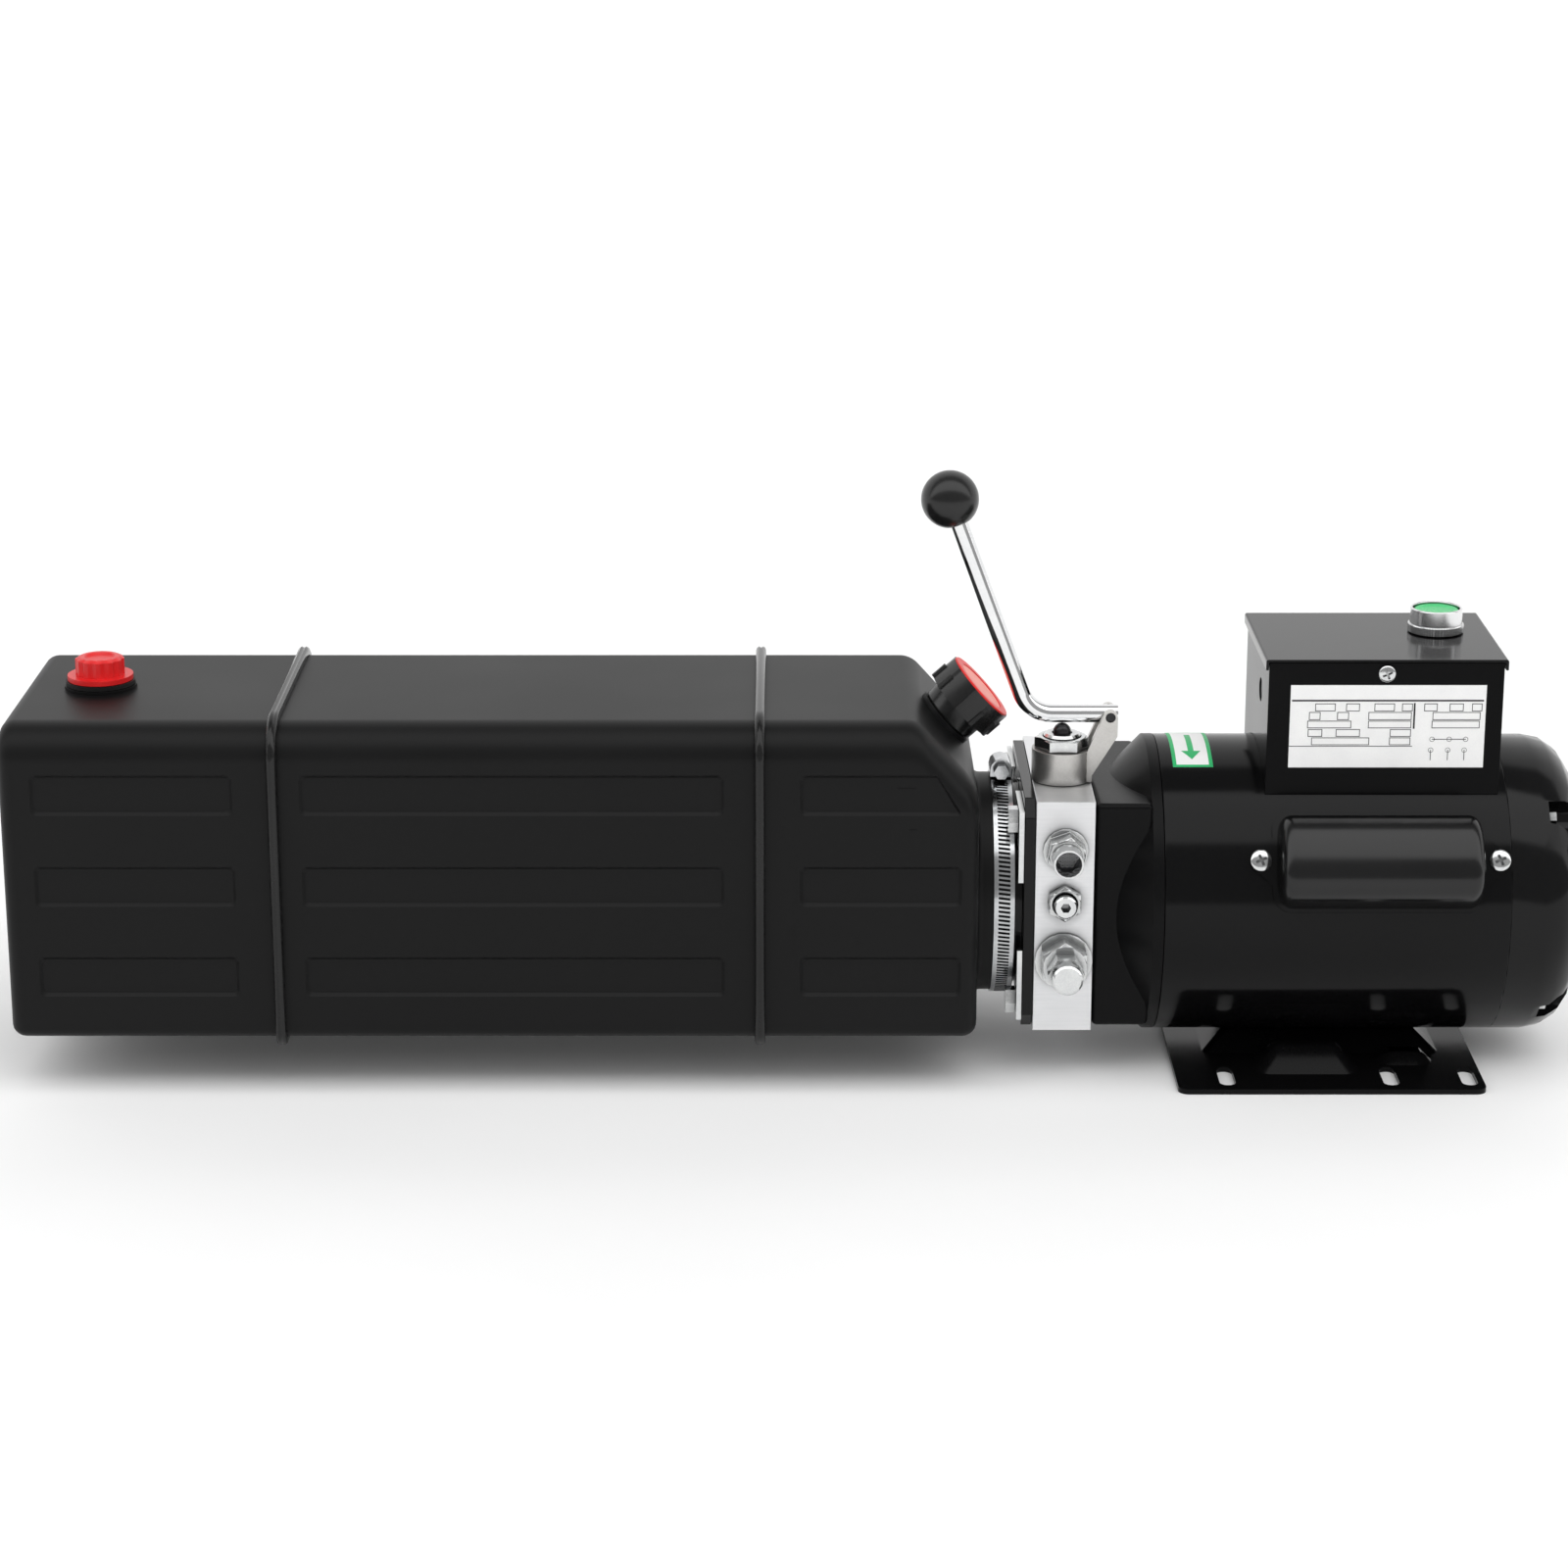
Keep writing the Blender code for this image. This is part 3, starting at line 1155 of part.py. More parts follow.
def make_bearing(name, start, shaft):
    inner = shaft + RUNNING
    outer = BEARING_RADIUS
    ring = [(inner, 0.0), (inner, BEARING_WIDTH), (outer, BEARING_WIDTH), (outer, 0.0)]
    piece(name, turned(ring, FINE, "X", closed=True), "steel", (start, 0.0, 0.0))


def cover_screw_tools():
    hole = PAN_SHANK_RADIUS + FIT
    reach = PAN_SHANK_LENGTH + PAST
    half = COVER_SCREW_SPACING / 2
    tool = [(hole, -reach), (hole, reach)]
    return together([moved(turned(tool, COARSE), x=side * half) for side in (-1, 1)])


def make_shell():
    inner = SHELL_RADIUS - SHELL_WALL
    length = SHELL_LENGTH - FIT
    tube = [(inner, 0.0), (inner, length), (SHELL_RADIUS, length), (SHELL_RADIUS, 0.0)]
    shape = turned(tube, LARGE, "X", closed=True)
    shell = piece("motor_shell", shape, "black_paint", (shell_start, 0.0, 0.0))
    cut(shell, cover_screw_tools(), cover_place, cover_turn)


def make_rear_bell():
    round_middle = (SHELL_RADIUS - REAR_BELL_ROUND, REAR_BELL_LENGTH - REAR_BELL_ROUND)
    profile = [(SHELL_RADIUS, 0.0)] + arc(round_middle, REAR_BELL_ROUND, 0.0, math.pi / 2, 4)
    bell = piece("rear_end_bell", turned(profile, LARGE, "X"), "black_paint", (shell_end, 0.0, 0.0))
    seat = BEARING_RADIUS + FIT
    recess = [
        (seat, REAR_RECESS_DEPTH + BEARING_WIDTH + FIT),
        (seat, REAR_RECESS_DEPTH),
        (BELL_RECESS_RADIUS, REAR_RECESS_DEPTH),
        (BELL_RECESS_RADIUS, -PAST),
    ]
    cut(bell, turned(recess, FINE, "X"))
    cut(bell, through_bolt_tools(NOTCH_RADIUS, NOTCH_DEPTH, REAR_BELL_LENGTH + PAST, FINE))
    cut(bell, through_bolt_tools(THROUGH_BOLT_RADIUS + FIT, -PAST, NOTCH_DEPTH + PAST, COARSE))
    make_bearing("rear_bearing", shell_end + REAR_RECESS_DEPTH, REAR_SHAFT_RADIUS)


def make_through_bolts():
    offset = BOLT_CIRCLE / math.sqrt(2)
    seat = NOTCH_DEPTH + FIT
    thread_end = shell_start - shell_end - THROUGH_BOLT_ENTRY
    sections = [
        (circle(THROUGH_BOLT_RADIUS, FINE), thread_end),
        (circle(THROUGH_BOLT_RADIUS, FINE), seat),
        (hexagon(THROUGH_BOLT_FLATS, FINE), seat),
        (hexagon(THROUGH_BOLT_FLATS, FINE), seat + THROUGH_BOLT_HEAD),
    ]
    for number, (side, rise) in enumerate(diagonals, 1):
        place = (shell_end, side * offset, rise * offset)
        piece(f"through_bolt_{number}", stacked(sections, "X"), "zinc", place)


def make_stator():
    inner = ROTOR_RADIUS + AIR_GAP
    count = STATOR_FACETS
    outer = four_flats(SHELL_RADIUS - SHELL_WALL - RUNNING, STATOR_FLAT, count)
    half = CORE_LENGTH / 2
    coil = half + COIL_OVERHANG
    sections = [
        (circle(inner, count), -coil),
        (circle(inner, count), coil),
        (circle(COIL_RADIUS, count), coil),
        (circle(COIL_RADIUS, count), half),
        (outer, half),
        (outer, -half),
        (circle(COIL_RADIUS, count), -half),
        (circle(COIL_RADIUS, count), -coil),
    ]
    piece("stator", stacked(sections, "X", closed=True), "copper", (shell_middle, 0.0, 0.0))


def make_rotor():
    start = bell_start + SOCKET_SETBACK - shell_middle
    socket_end = start + SOCKET_DEPTH
    bore = PUMP_SHAFT + FIT
    half = CORE_LENGTH / 2
    end = shell_end + REAR_RECESS_DEPTH + BEARING_WIDTH - shell_middle - FIT
    neck = RUNNING
    profile = [
        (bore, socket_end),
        (bore, start),
        (SOCKET_RADIUS, start),
        (SOCKET_RADIUS, socket_end - neck),
        (SHAFT_RADIUS, socket_end - neck),
        (SHAFT_RADIUS, -half),
        (ROTOR_RADIUS, -half),
        (ROTOR_RADIUS, half),
        (REAR_SHAFT_RADIUS, half),
        (REAR_SHAFT_RADIUS, end),
    ]
    piece("rotor", turned(profile, FINE, "X"), "steel", (shell_middle, 0.0, 0.0))


# Foot plate
def raised(length, depth, heights, draft, base, middle):
    # A form pressed up out of the sheet: sloped sides, rounded corners and an eased shoulder.
    # Its top may tilt from the height at the outer side to the height at the inner side.
    outer, inner = heights
    ease = min(HUMP_SHOULDER, (depth / 2 - draft) / 2, outer / 2)
    loops = []
    for narrower, drop in ((0.0, None), (draft * (1 - ease / inner), ease), (draft + ease, 0.0)):
        width = depth - 2 * narrower
        loop = []
        for a, b in rounded_rectangle(length - 2 * narrower, width, min(HUMP_CORNER, 0.4 * width), 2):
            out = 0.5 + (b if middle[1] > 0 else -b) / depth
            rise = 0.0 if drop is None else inner + (outer - inner) * out - drop
            loop.append((a + middle[0], b + middle[1], base + rise))
        loops.append(loop)
    return loft(loops)


def hollow_under(length, depth, height, draft, middle):
    # The underside of a pressed-up form, with plain corners.
    low = rectangle(length, depth, middle)
    return stacked([(low, -PAST), (inset(low, draft), height)])


def make_foot():
    floor = -AXIS_HEIGHT
    sheet = FOOT_THICKNESS
    top = floor + sheet
    plate = rounded_rectangle(FOOT_LENGTH, FOOT_DEPTH, FOOT_CORNER)
    foot = piece("foot_plate", extruded(plate, 0.0, sheet), "black_paint", (0.0, 0.0, floor))
    lift = AXIS_HEIGHT - SHELL_RADIUS - FIT
    humps = []
    for x, y, length, depth, outer, inner in (LONG_HUMP, SHORT_HUMP):
        for side in (-1, 1):
            humps.append((length, depth, (outer, inner), HUMP_DRAFT, (x, side * y)))
    seat = lift - sheet
    humps.append((SADDLE_LENGTH, SADDLE_DEPTH, (seat, seat), SADDLE_DRAFT, (0.0, 0.0)))
    outside = []
    inside = []
    for length, depth, heights, draft, middle in humps:
        raised_by = [height + sheet / 2 for height in heights]
        outside.append(raised(length, depth, raised_by, draft, sheet / 2, middle))
        # A form too narrow to hollow stays solid underneath.
        if depth - 2 * sheet - 2 * draft > sheet:
            room = (length - 2 * sheet, depth - 2 * sheet, min(heights))
            inside.append(hollow_under(*room, draft, middle))
    join(foot, together(outside))
    cut(foot, together(inside))
    slots = []
    for x in slot_places:
        for side in (-1, 1):
            outline = stadium(SLOT_WIDTH, SLOT_LENGTH, (x, side * SLOT_OFFSET))
            slots.append(extruded(outline, -PAST, sheet + PAST))
    cut(foot, together(slots))


# Terminal box and start button
def make_terminal_box():
    top = LID_TOP - BOX_WALL - FIT
    low = SHELL_RADIUS / 2
    outer = rectangle(BOX_LENGTH, BOX_DEPTH)
    inner = rectangle(BOX_LENGTH - 2 * BOX_WALL, BOX_DEPTH - 2 * BOX_WALL)
    box = piece("terminal_box", extruded(outer, low, top), "black_paint", (box_middle, 0.0, 0.0))
    cut(box, extruded(inner, low - PAST, top + PAST))
    saddle = SHELL_RADIUS + FIT
    cut(box, turned([(saddle, -BOX_LENGTH), (saddle, BOX_LENGTH)], LARGE, "X"))
    knockout = turned([(KNOCKOUT_RADIUS, -PAST), (KNOCKOUT_RADIUS, KNOCKOUT_DEPTH)], SMALL, "X")
    front = KNOCKOUT_FROM_FRONT - BOX_DEPTH / 2
    cut(box, moved(knockout, -BOX_LENGTH / 2, front, LID_TOP - KNOCKOUT_DROP))
    hole = PAN_SHANK_RADIUS + FIT
    screw_hole = turned([(hole, -PAST), (hole, BOX_WALL + PAST)], FINE, "Y")
    cut(box, moved(screw_hole, 0.0, -BOX_DEPTH / 2, LID_TOP - LID_SCREW_DROP))


def make_lid():
    # A flat top with folded lips outside both ends and a screw tab inside the front wall.
    reach = BOX_LENGTH + 2 * (LID_OVERHANG + FIT)
    depth = BOX_DEPTH + 2 * LID_OVERHANG
    half = reach / 2
    inside = half - LID_OVERHANG
    fold = [
        (-half, -LID_LIP),
        (-inside, -LID_LIP),
        (-inside, -BOX_WALL),
        (inside, -BOX_WALL),
        (inside, -LID_LIP),
        (half, -LID_LIP),
        (half, -BOX_WALL / 2),
        (half - BOX_WALL / 2, 0.0),
        (-half + BOX_WALL / 2, 0.0),
        (-half, -BOX_WALL / 2),
    ]
    shape = extruded(fold, -depth / 2, depth / 2, "Y")
    lid = piece("box_lid", shape, "black_paint", (box_middle, 0.0, LID_TOP))
    tab_front = -BOX_DEPTH / 2 + BOX_WALL + FIT
    tab = rectangle(LID_TAB_WIDTH, LID_TAB_DROP, (0.0, -LID_TAB_DROP / 2 - BOX_WALL / 2))
    join(lid, extruded(tab, tab_front, tab_front + BOX_WALL, "Y"))
    hole = PAN_SHANK_RADIUS + FIT
    tool = turned([(hole, tab_front - PAST), (hole, tab_front + BOX_WALL + PAST)], FINE, "Y")
    cut(lid, moved(tool, z=-LID_SCREW_DROP))
    opening = BEZEL_STEM_RADIUS + FIT
    cut(lid, turned([(opening, -PAST), (opening, PAST)], MEDIUM), button_place)


def pan_screw(name, head, place, turn):
    dome = PAN_HEAD_HEIGHT / 2
    profile = [
        (PAN_SHANK_RADIUS, -PAN_SHANK_LENGTH),
        (PAN_SHANK_RADIUS, FIT),
        (head, FIT),
        (head, FIT + dome),
        (0.6 * head, FIT + 2 * dome),
    ]
    piece(name, turned(profile, FINE), "zinc", place, turn)


def make_button():
    bore = BEZEL_RADIUS - BEZEL_RIM
    guide = BUTTON_STEM_RADIUS + RUNNING
    cap_height = BEZEL_HEIGHT - BUTTON_SINK - BUTTON_TRAVEL - BEZEL_FLANGE_HEIGHT
    shoulder = BEZEL_FLANGE_HEIGHT - RUNNING
    bezel = [
        (guide, -BEZEL_STEM_LENGTH),
        (BEZEL_STEM_RADIUS, -BEZEL_STEM_LENGTH),
        (BEZEL_STEM_RADIUS, FIT),
        (BEZEL_FLANGE_RADIUS, FIT),
        (BEZEL_FLANGE_RADIUS, BEZEL_FLANGE_HEIGHT),
        (BEZEL_RADIUS, BEZEL_FLANGE_HEIGHT),
        (BEZEL_RADIUS, BEZEL_HEIGHT - BEZEL_RIM / 2),
        (BEZEL_RADIUS - BEZEL_RIM / 2, BEZEL_HEIGHT),
        (bore, BEZEL_HEIGHT),
        (bore, shoulder),
        (guide, shoulder),
    ]
    piece("button_bezel", turned(bezel, SMALL, closed=True), "chrome", button_place)
    face = BEZEL_HEIGHT - BUTTON_SINK
    cap = bore - RUNNING
    stem_end = -BEZEL_STEM_LENGTH - FIT
    crown = BUTTON_SINK / 2
    button = [
        (BUTTON_STEM_RADIUS, stem_end),
        (BUTTON_STEM_RADIUS, face - cap_height),
        (cap, face - cap_height),
        (cap, face - crown),
        (cap - 2 * crown, face),
        (0.7 * cap, face - BUTTON_DISH),
    ]
    piece("start_button", turned(button, SMALL), "green_plastic", button_place)
    top = -BEZEL_STEM_LENGTH - FIT
    shape = extruded(rectangle(CONTACT_WIDTH, CONTACT_WIDTH), top - CONTACT_HEIGHT, top)
    contact = piece("contact_block", shape, "grey_plastic", button_place)
    cut(contact, turned([(guide, top - CONTACT_BORE_DEPTH), (guide, top + PAST)], SMALL))


# Capacitor and its cover, on a tilted seat on the front of the shell
def crowned(wall, arch_steps, end_steps):
    # The arched tray of the cover, smaller all round by the wall for its hollow.
    half = COVER_WIDTH / 2 - wall
    top = COVER_HEIGHT - wall
    radius = (half ** 2 + COVER_CROWN ** 2) / (2 * COVER_CROWN)
    sweep = math.asin(half / radius)
    arch = arc((0.0, top - radius), radius, math.pi / 2 - sweep, math.pi / 2 + sweep, arch_steps)
    outline = arch + [(-half, -COVER_HEIGHT), (half, -COVER_HEIGHT)]
    reach = COVER_LENGTH / 2 - wall
    tray = extruded(outline, -reach, reach, "X")
    return softened(tray, COVER_ROUND - wall, end_steps, math.radians(60.0))


def round_shell(gap, count):
    # A bar as round as the shell, larger by the gap, in the cover's own place.
    radius = SHELL_RADIUS + gap
    bar = turned([(radius, -COVER_SCREW_SPACING), (radius, COVER_SCREW_SPACING)], count, "X")
    return moved(bar, z=-SHELL_RADIUS)


def make_capacitor():
    rim = rounded_rectangle(COVER_RIM_LENGTH, COVER_RIM_WIDTH, COVER_RIM_CORNER, 3)
    flat = extruded(rim, -COVER_HEIGHT, COVER_HEIGHT)
    cover = piece("capacitor_cover", flat, "black_paint", cover_place, cover_turn)
    join(cover, extruded(tab_outline(), -COVER_HEIGHT, COVER_HEIGHT))
    shaped(cover, "INTERSECT", round_shell(TAB_THICKNESS + FIT, LARGE))
    join(cover, crowned(0.0, arch_steps=8, end_steps=2))
    cut(cover, round_shell(FIT, 2 * LARGE))
    cut(cover, crowned(COVER_WALL, arch_steps=4, end_steps=1))
    cut(cover, cover_screw_tools())
    rest = (COVER_HEIGHT - COVER_WALL) / 2
    radius = rest - FIT
    ease = radius / 6
    reach = CAPACITOR_LENGTH / 2
    can = [
        (radius - ease, -reach),
        (radius, ease - reach),
        (radius, reach - ease),
        (radius - ease, reach),
    ]
    piece("capacitor", moved(turned(can, COARSE, "X"), z=rest), "grey_plastic", cover_place, cover_turn)
    seat = SHELL_RADIUS + TAB_THICKNESS + FIT
    for name, side in (("cover_screw_left", -1), ("cover_screw_right", 1)):
        along = cover_middle + side * COVER_SCREW_SPACING / 2
        place = (along, -seat * math.cos(COVER_ANGLE), seat * math.sin(COVER_ANGLE))
        pan_screw(name, COVER_SCREW_HEAD, place, cover_turn)


def tab_outline():
    # One strip under the cover whose ends narrow to rounded tips round the two screws.
    tip = COVER_SCREW_SPACING / 2
    half = TAB_WIDTH / 2
    inner = COVER_LENGTH / 2 - COVER_ROUND
    right = arc((tip, 0.0), TAB_END / 2 + PAST / 2, -math.pi / 3, math.pi / 3, 6)
    outline = [(inner, -half)] + right + [(inner, half)]
    return outline + [(-a, -b) for a, b in outline]


make_tank()
make_hoops()
make_breather()
make_filler_cap()
make_clamp()
make_flange()
make_corner_plates()
make_block()
make_outlet()
make_relief_valve()
make_check_valve()
make_release_valve()
make_lever()
make_pump()
make_front_bell()
make_shell()
make_rear_bell()
make_through_bolts()
make_stator()
make_rotor()
make_foot()
make_terminal_box()
make_lid()
make_button()
make_capacitor()
pan_screw(
    "lid_screw",
    LID_SCREW_HEAD,
    (box_middle, -BOX_DEPTH / 2, LID_TOP - LID_SCREW_DROP),
    (math.pi / 2, 0.0, 0.0),
)
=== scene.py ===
import json
import math

import bmesh
import bpy
from mathutils import Matrix, Vector


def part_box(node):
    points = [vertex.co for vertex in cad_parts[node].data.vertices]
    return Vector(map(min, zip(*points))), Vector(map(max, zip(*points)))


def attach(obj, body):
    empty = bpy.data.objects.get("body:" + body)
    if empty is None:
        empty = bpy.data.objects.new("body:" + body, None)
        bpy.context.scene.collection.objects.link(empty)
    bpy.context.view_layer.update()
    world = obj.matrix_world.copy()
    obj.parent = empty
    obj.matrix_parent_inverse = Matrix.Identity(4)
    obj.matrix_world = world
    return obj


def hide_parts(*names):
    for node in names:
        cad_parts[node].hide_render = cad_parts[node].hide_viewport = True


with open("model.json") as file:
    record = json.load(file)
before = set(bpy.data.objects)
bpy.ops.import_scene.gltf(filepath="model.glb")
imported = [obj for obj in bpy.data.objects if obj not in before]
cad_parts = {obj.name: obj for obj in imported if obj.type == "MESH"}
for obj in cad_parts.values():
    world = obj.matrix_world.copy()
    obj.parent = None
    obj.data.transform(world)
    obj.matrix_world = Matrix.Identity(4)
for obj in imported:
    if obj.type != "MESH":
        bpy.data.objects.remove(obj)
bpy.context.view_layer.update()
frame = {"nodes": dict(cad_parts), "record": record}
mm = 0.001

# Shaft centre above the middle of the foot plate, read from the motor shell.
shellFront, shellRadius = 94.5, 82.5
shellLow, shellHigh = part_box("motor_shell")
shaft = Vector((shellLow.x + shellFront * mm, (shellLow.y + shellHigh.y) / 2, (shellLow.z + shellHigh.z) / 2))


# Small helpers for shader trees.
def link(tree, source, target):
    tree.links.new(source, target)


def noiseField(tree, scale, detail=4.0, stretch=(1.0, 1.0, 1.0)):
    place = tree.nodes.new("ShaderNodeTexCoord")
    mapping = tree.nodes.new("ShaderNodeMapping")
    mapping.inputs["Scale"].default_value = stretch
    noise = tree.nodes.new("ShaderNodeTexNoise")
    noise.inputs["Scale"].default_value = scale
    noise.inputs["Detail"].default_value = detail
    link(tree, place.outputs["Object"], mapping.inputs["Vector"])
    link(tree, mapping.outputs["Vector"], noise.inputs["Vector"])
    return noise.outputs["Fac"]


def cellField(tree, scale):
    place = tree.nodes.new("ShaderNodeTexCoord")
    cells = tree.nodes.new("ShaderNodeTexVoronoi")
    cells.inputs["Scale"].default_value = scale
    link(tree, place.outputs["Object"], cells.inputs["Vector"])
    return cells.outputs["Distance"]


def spread(tree, source, low, high, start=0.3, end=0.7):
    node = tree.nodes.new("ShaderNodeMapRange")
    node.inputs["From Min"].default_value = start
    node.inputs["From Max"].default_value = end
    node.inputs["To Min"].default_value = low
    node.inputs["To Max"].default_value = high
    link(tree, source, node.inputs["Value"])
    return node.outputs["Result"]


def blendOf(tree, first, second, share):
    node = tree.nodes.new("ShaderNodeMix")
    node.inputs["Factor"].default_value = share
    link(tree, first, node.inputs["A"])
    link(tree, second, node.inputs["B"])
    return node.outputs["Result"]


def ramped(tree, source, dark, light, start=0.3, end=0.7):
    node = tree.nodes.new("ShaderNodeValToRGB")
    node.color_ramp.elements[0].position = start
    node.color_ramp.elements[0].color = (*dark, 1.0)
    node.color_ramp.elements[1].position = end
    node.color_ramp.elements[1].color = (*light, 1.0)
    link(tree, source, node.inputs["Fac"])
    return node.outputs["Color"]


def finish(name, look):
    made = bpy.data.materials.new(name)
    made.use_nodes = True
    tree = made.node_tree
    shader = next(node for node in tree.nodes if node.type == "BSDF_PRINCIPLED")
    shader.inputs["Metallic"].default_value = look.get("metal", 0.0)
    shader.inputs["Specular IOR Level"].default_value = look.get("shine", 0.5)
    broad = noiseField(tree, look["patch"], 3.0)
    grain = noiseField(tree, look["grain"], 5.0, look.get("stretch", (1.0, 1.0, 1.0)))
    tone = blendOf(tree, broad, grain, look.get("grainShare", 0.4))
    colour = ramped(tree, tone, look["dark"], look["light"])
    if "paintedCreviceShade" in look:
        # Painted shade: occlusion darkens the colour in narrow corners and recesses of bare metal, where
        # shade falls.
        corner = tree.nodes.new("ShaderNodeAmbientOcclusion")
        corner.inputs["Distance"].default_value = look["paintedCreviceShade"]
        link(tree, colour, corner.inputs["Color"])
        colour = corner.outputs["Color"]
    link(tree, colour, shader.inputs["Base Color"])
    link(tree, spread(tree, tone, *look["rough"]), shader.inputs["Roughness"])
    height = grain
    if "pits" in look:
        height = blendOf(tree, grain, cellField(tree, look["pits"]), 0.5)
    bump = tree.nodes.new("ShaderNodeBump")
    bump.inputs["Strength"].default_value = look["bump"]
    bump.inputs["Distance"].default_value = look["depth"]
    link(tree, height, bump.inputs["Height"])
    link(tree, bump.outputs["Normal"], shader.inputs["Normal"])
    return made


# One finish for each material slot of the record; grain and patch are waves per metre; the crevice value is
# how far, in metres, painted shade darkens the colour in corners.
slotLooks = {
    "tank_plastic": {
        "dark": (0.0036, 0.0036, 0.0037), "light": (0.0054, 0.0054, 0.0055), "rough": (0.40, 0.47),
        "shine": 0.18, "patch": 7.0, "grain": 1500.0, "bump": 0.06, "depth": 0.0002,
    },
    "hoop_rubber": {
        "dark": (0.006, 0.006, 0.006), "light": (0.011, 0.011, 0.011), "rough": (0.14, 0.20),
        "shine": 0.32, "patch": 30.0, "grain": 1300.0, "bump": 0.1, "depth": 0.0002,
    },
    "red_plastic": {
        "dark": (0.60, 0.010, 0.012), "light": (0.75, 0.018, 0.018), "rough": (0.30, 0.40),
        "shine": 0.4, "patch": 60.0, "grain": 1600.0, "bump": 0.06, "depth": 0.0001,
    },
    "orange_plastic": {
        "dark": (0.80, 0.055, 0.030), "light": (0.90, 0.085, 0.050), "rough": (0.36, 0.46),
        "shine": 0.4, "patch": 60.0, "grain": 1500.0, "bump": 0.06, "depth": 0.0001,
    },
    "black_plastic": {
        "dark": (0.006, 0.006, 0.006), "light": (0.011, 0.011, 0.011), "rough": (0.20, 0.30),
        "shine": 0.45, "patch": 50.0, "grain": 1200.0, "bump": 0.05, "depth": 0.0001,
    },
    "black_rubber": {
        "dark": (0.006, 0.006, 0.006), "light": (0.012, 0.012, 0.012), "rough": (0.5, 0.62),
        "shine": 0.3, "patch": 50.0, "grain": 1200.0, "bump": 0.1, "depth": 0.0002,
    },
    "black_paint": {
        "dark": (0.0030, 0.0030, 0.0032), "light": (0.0046, 0.0046, 0.0048), "rough": (0.10, 0.15),
        "shine": 0.22, "patch": 16.0, "grain": 420.0, "bump": 0.03, "depth": 0.0002,
    },
    "zinc": {
        "dark": (0.62, 0.63, 0.64), "light": (0.80, 0.81, 0.80), "rough": (0.12, 0.22), "metal": 1.0,
        "patch": 110.0, "grain": 900.0, "bump": 0.08, "depth": 0.0001, "paintedCreviceShade": 0.004,
    },
    "aluminium": {
        "dark": (0.76, 0.77, 0.78), "light": (0.90, 0.90, 0.91), "rough": (0.34, 0.46), "metal": 1.0,
        "patch": 25.0, "grain": 800.0, "stretch": (0.04, 1.0, 1.0), "grainShare": 0.35, "bump": 0.05,
        "depth": 0.0001, "paintedCreviceShade": 0.006,
    },
    "cast_zinc": {
        "dark": (0.60, 0.585, 0.56), "light": (0.78, 0.765, 0.74), "rough": (0.34, 0.48), "metal": 1.0,
        "patch": 70.0, "grain": 1100.0, "pits": 420.0, "bump": 0.3, "depth": 0.0003, "paintedCreviceShade": 0.004,
    },
    "chrome": {
        "dark": (0.80, 0.81, 0.82), "light": (0.90, 0.90, 0.90), "rough": (0.05, 0.10), "metal": 1.0,
        "patch": 45.0, "grain": 700.0, "bump": 0.02, "depth": 0.0001,
    },
    "black_oxide": {
        "dark": (0.020, 0.020, 0.022), "light": (0.060, 0.060, 0.062), "rough": (0.25, 0.36),
        "metal": 0.8, "patch": 90.0, "grain": 1000.0, "bump": 0.08, "depth": 0.0001,
    },
    "steel": {
        "dark": (0.42, 0.42, 0.43), "light": (0.58, 0.58, 0.58), "rough": (0.28, 0.42), "metal": 1.0,
        "patch": 60.0, "grain": 900.0, "bump": 0.1, "depth": 0.0001,
    },
    "cast_iron": {
        "dark": (0.10, 0.10, 0.10), "light": (0.18, 0.18, 0.18), "rough": (0.5, 0.65), "metal": 0.7,
        "patch": 60.0, "grain": 1000.0, "pits": 500.0, "bump": 0.3, "depth": 0.0003,
    },
    "copper": {
        "dark": (0.52, 0.20, 0.08), "light": (0.70, 0.30, 0.14), "rough": (0.3, 0.42), "metal": 1.0,
        "patch": 60.0, "grain": 900.0, "bump": 0.1, "depth": 0.0001,
    },
    "green_plastic": {
        "dark": (0.010, 0.46, 0.12), "light": (0.020, 0.58, 0.17), "rough": (0.22, 0.32), "shine": 0.5,
        "patch": 90.0, "grain": 1500.0, "bump": 0.04, "depth": 0.0001,
    },
    "grey_plastic": {
        "dark": (0.12, 0.12, 0.12), "light": (0.18, 0.18, 0.18), "rough": (0.42, 0.55), "shine": 0.4,
        "patch": 60.0, "grain": 1300.0, "bump": 0.08, "depth": 0.0001,
    },
}
finishes = {name: finish(name, look) for name, look in slotLooks.items()}
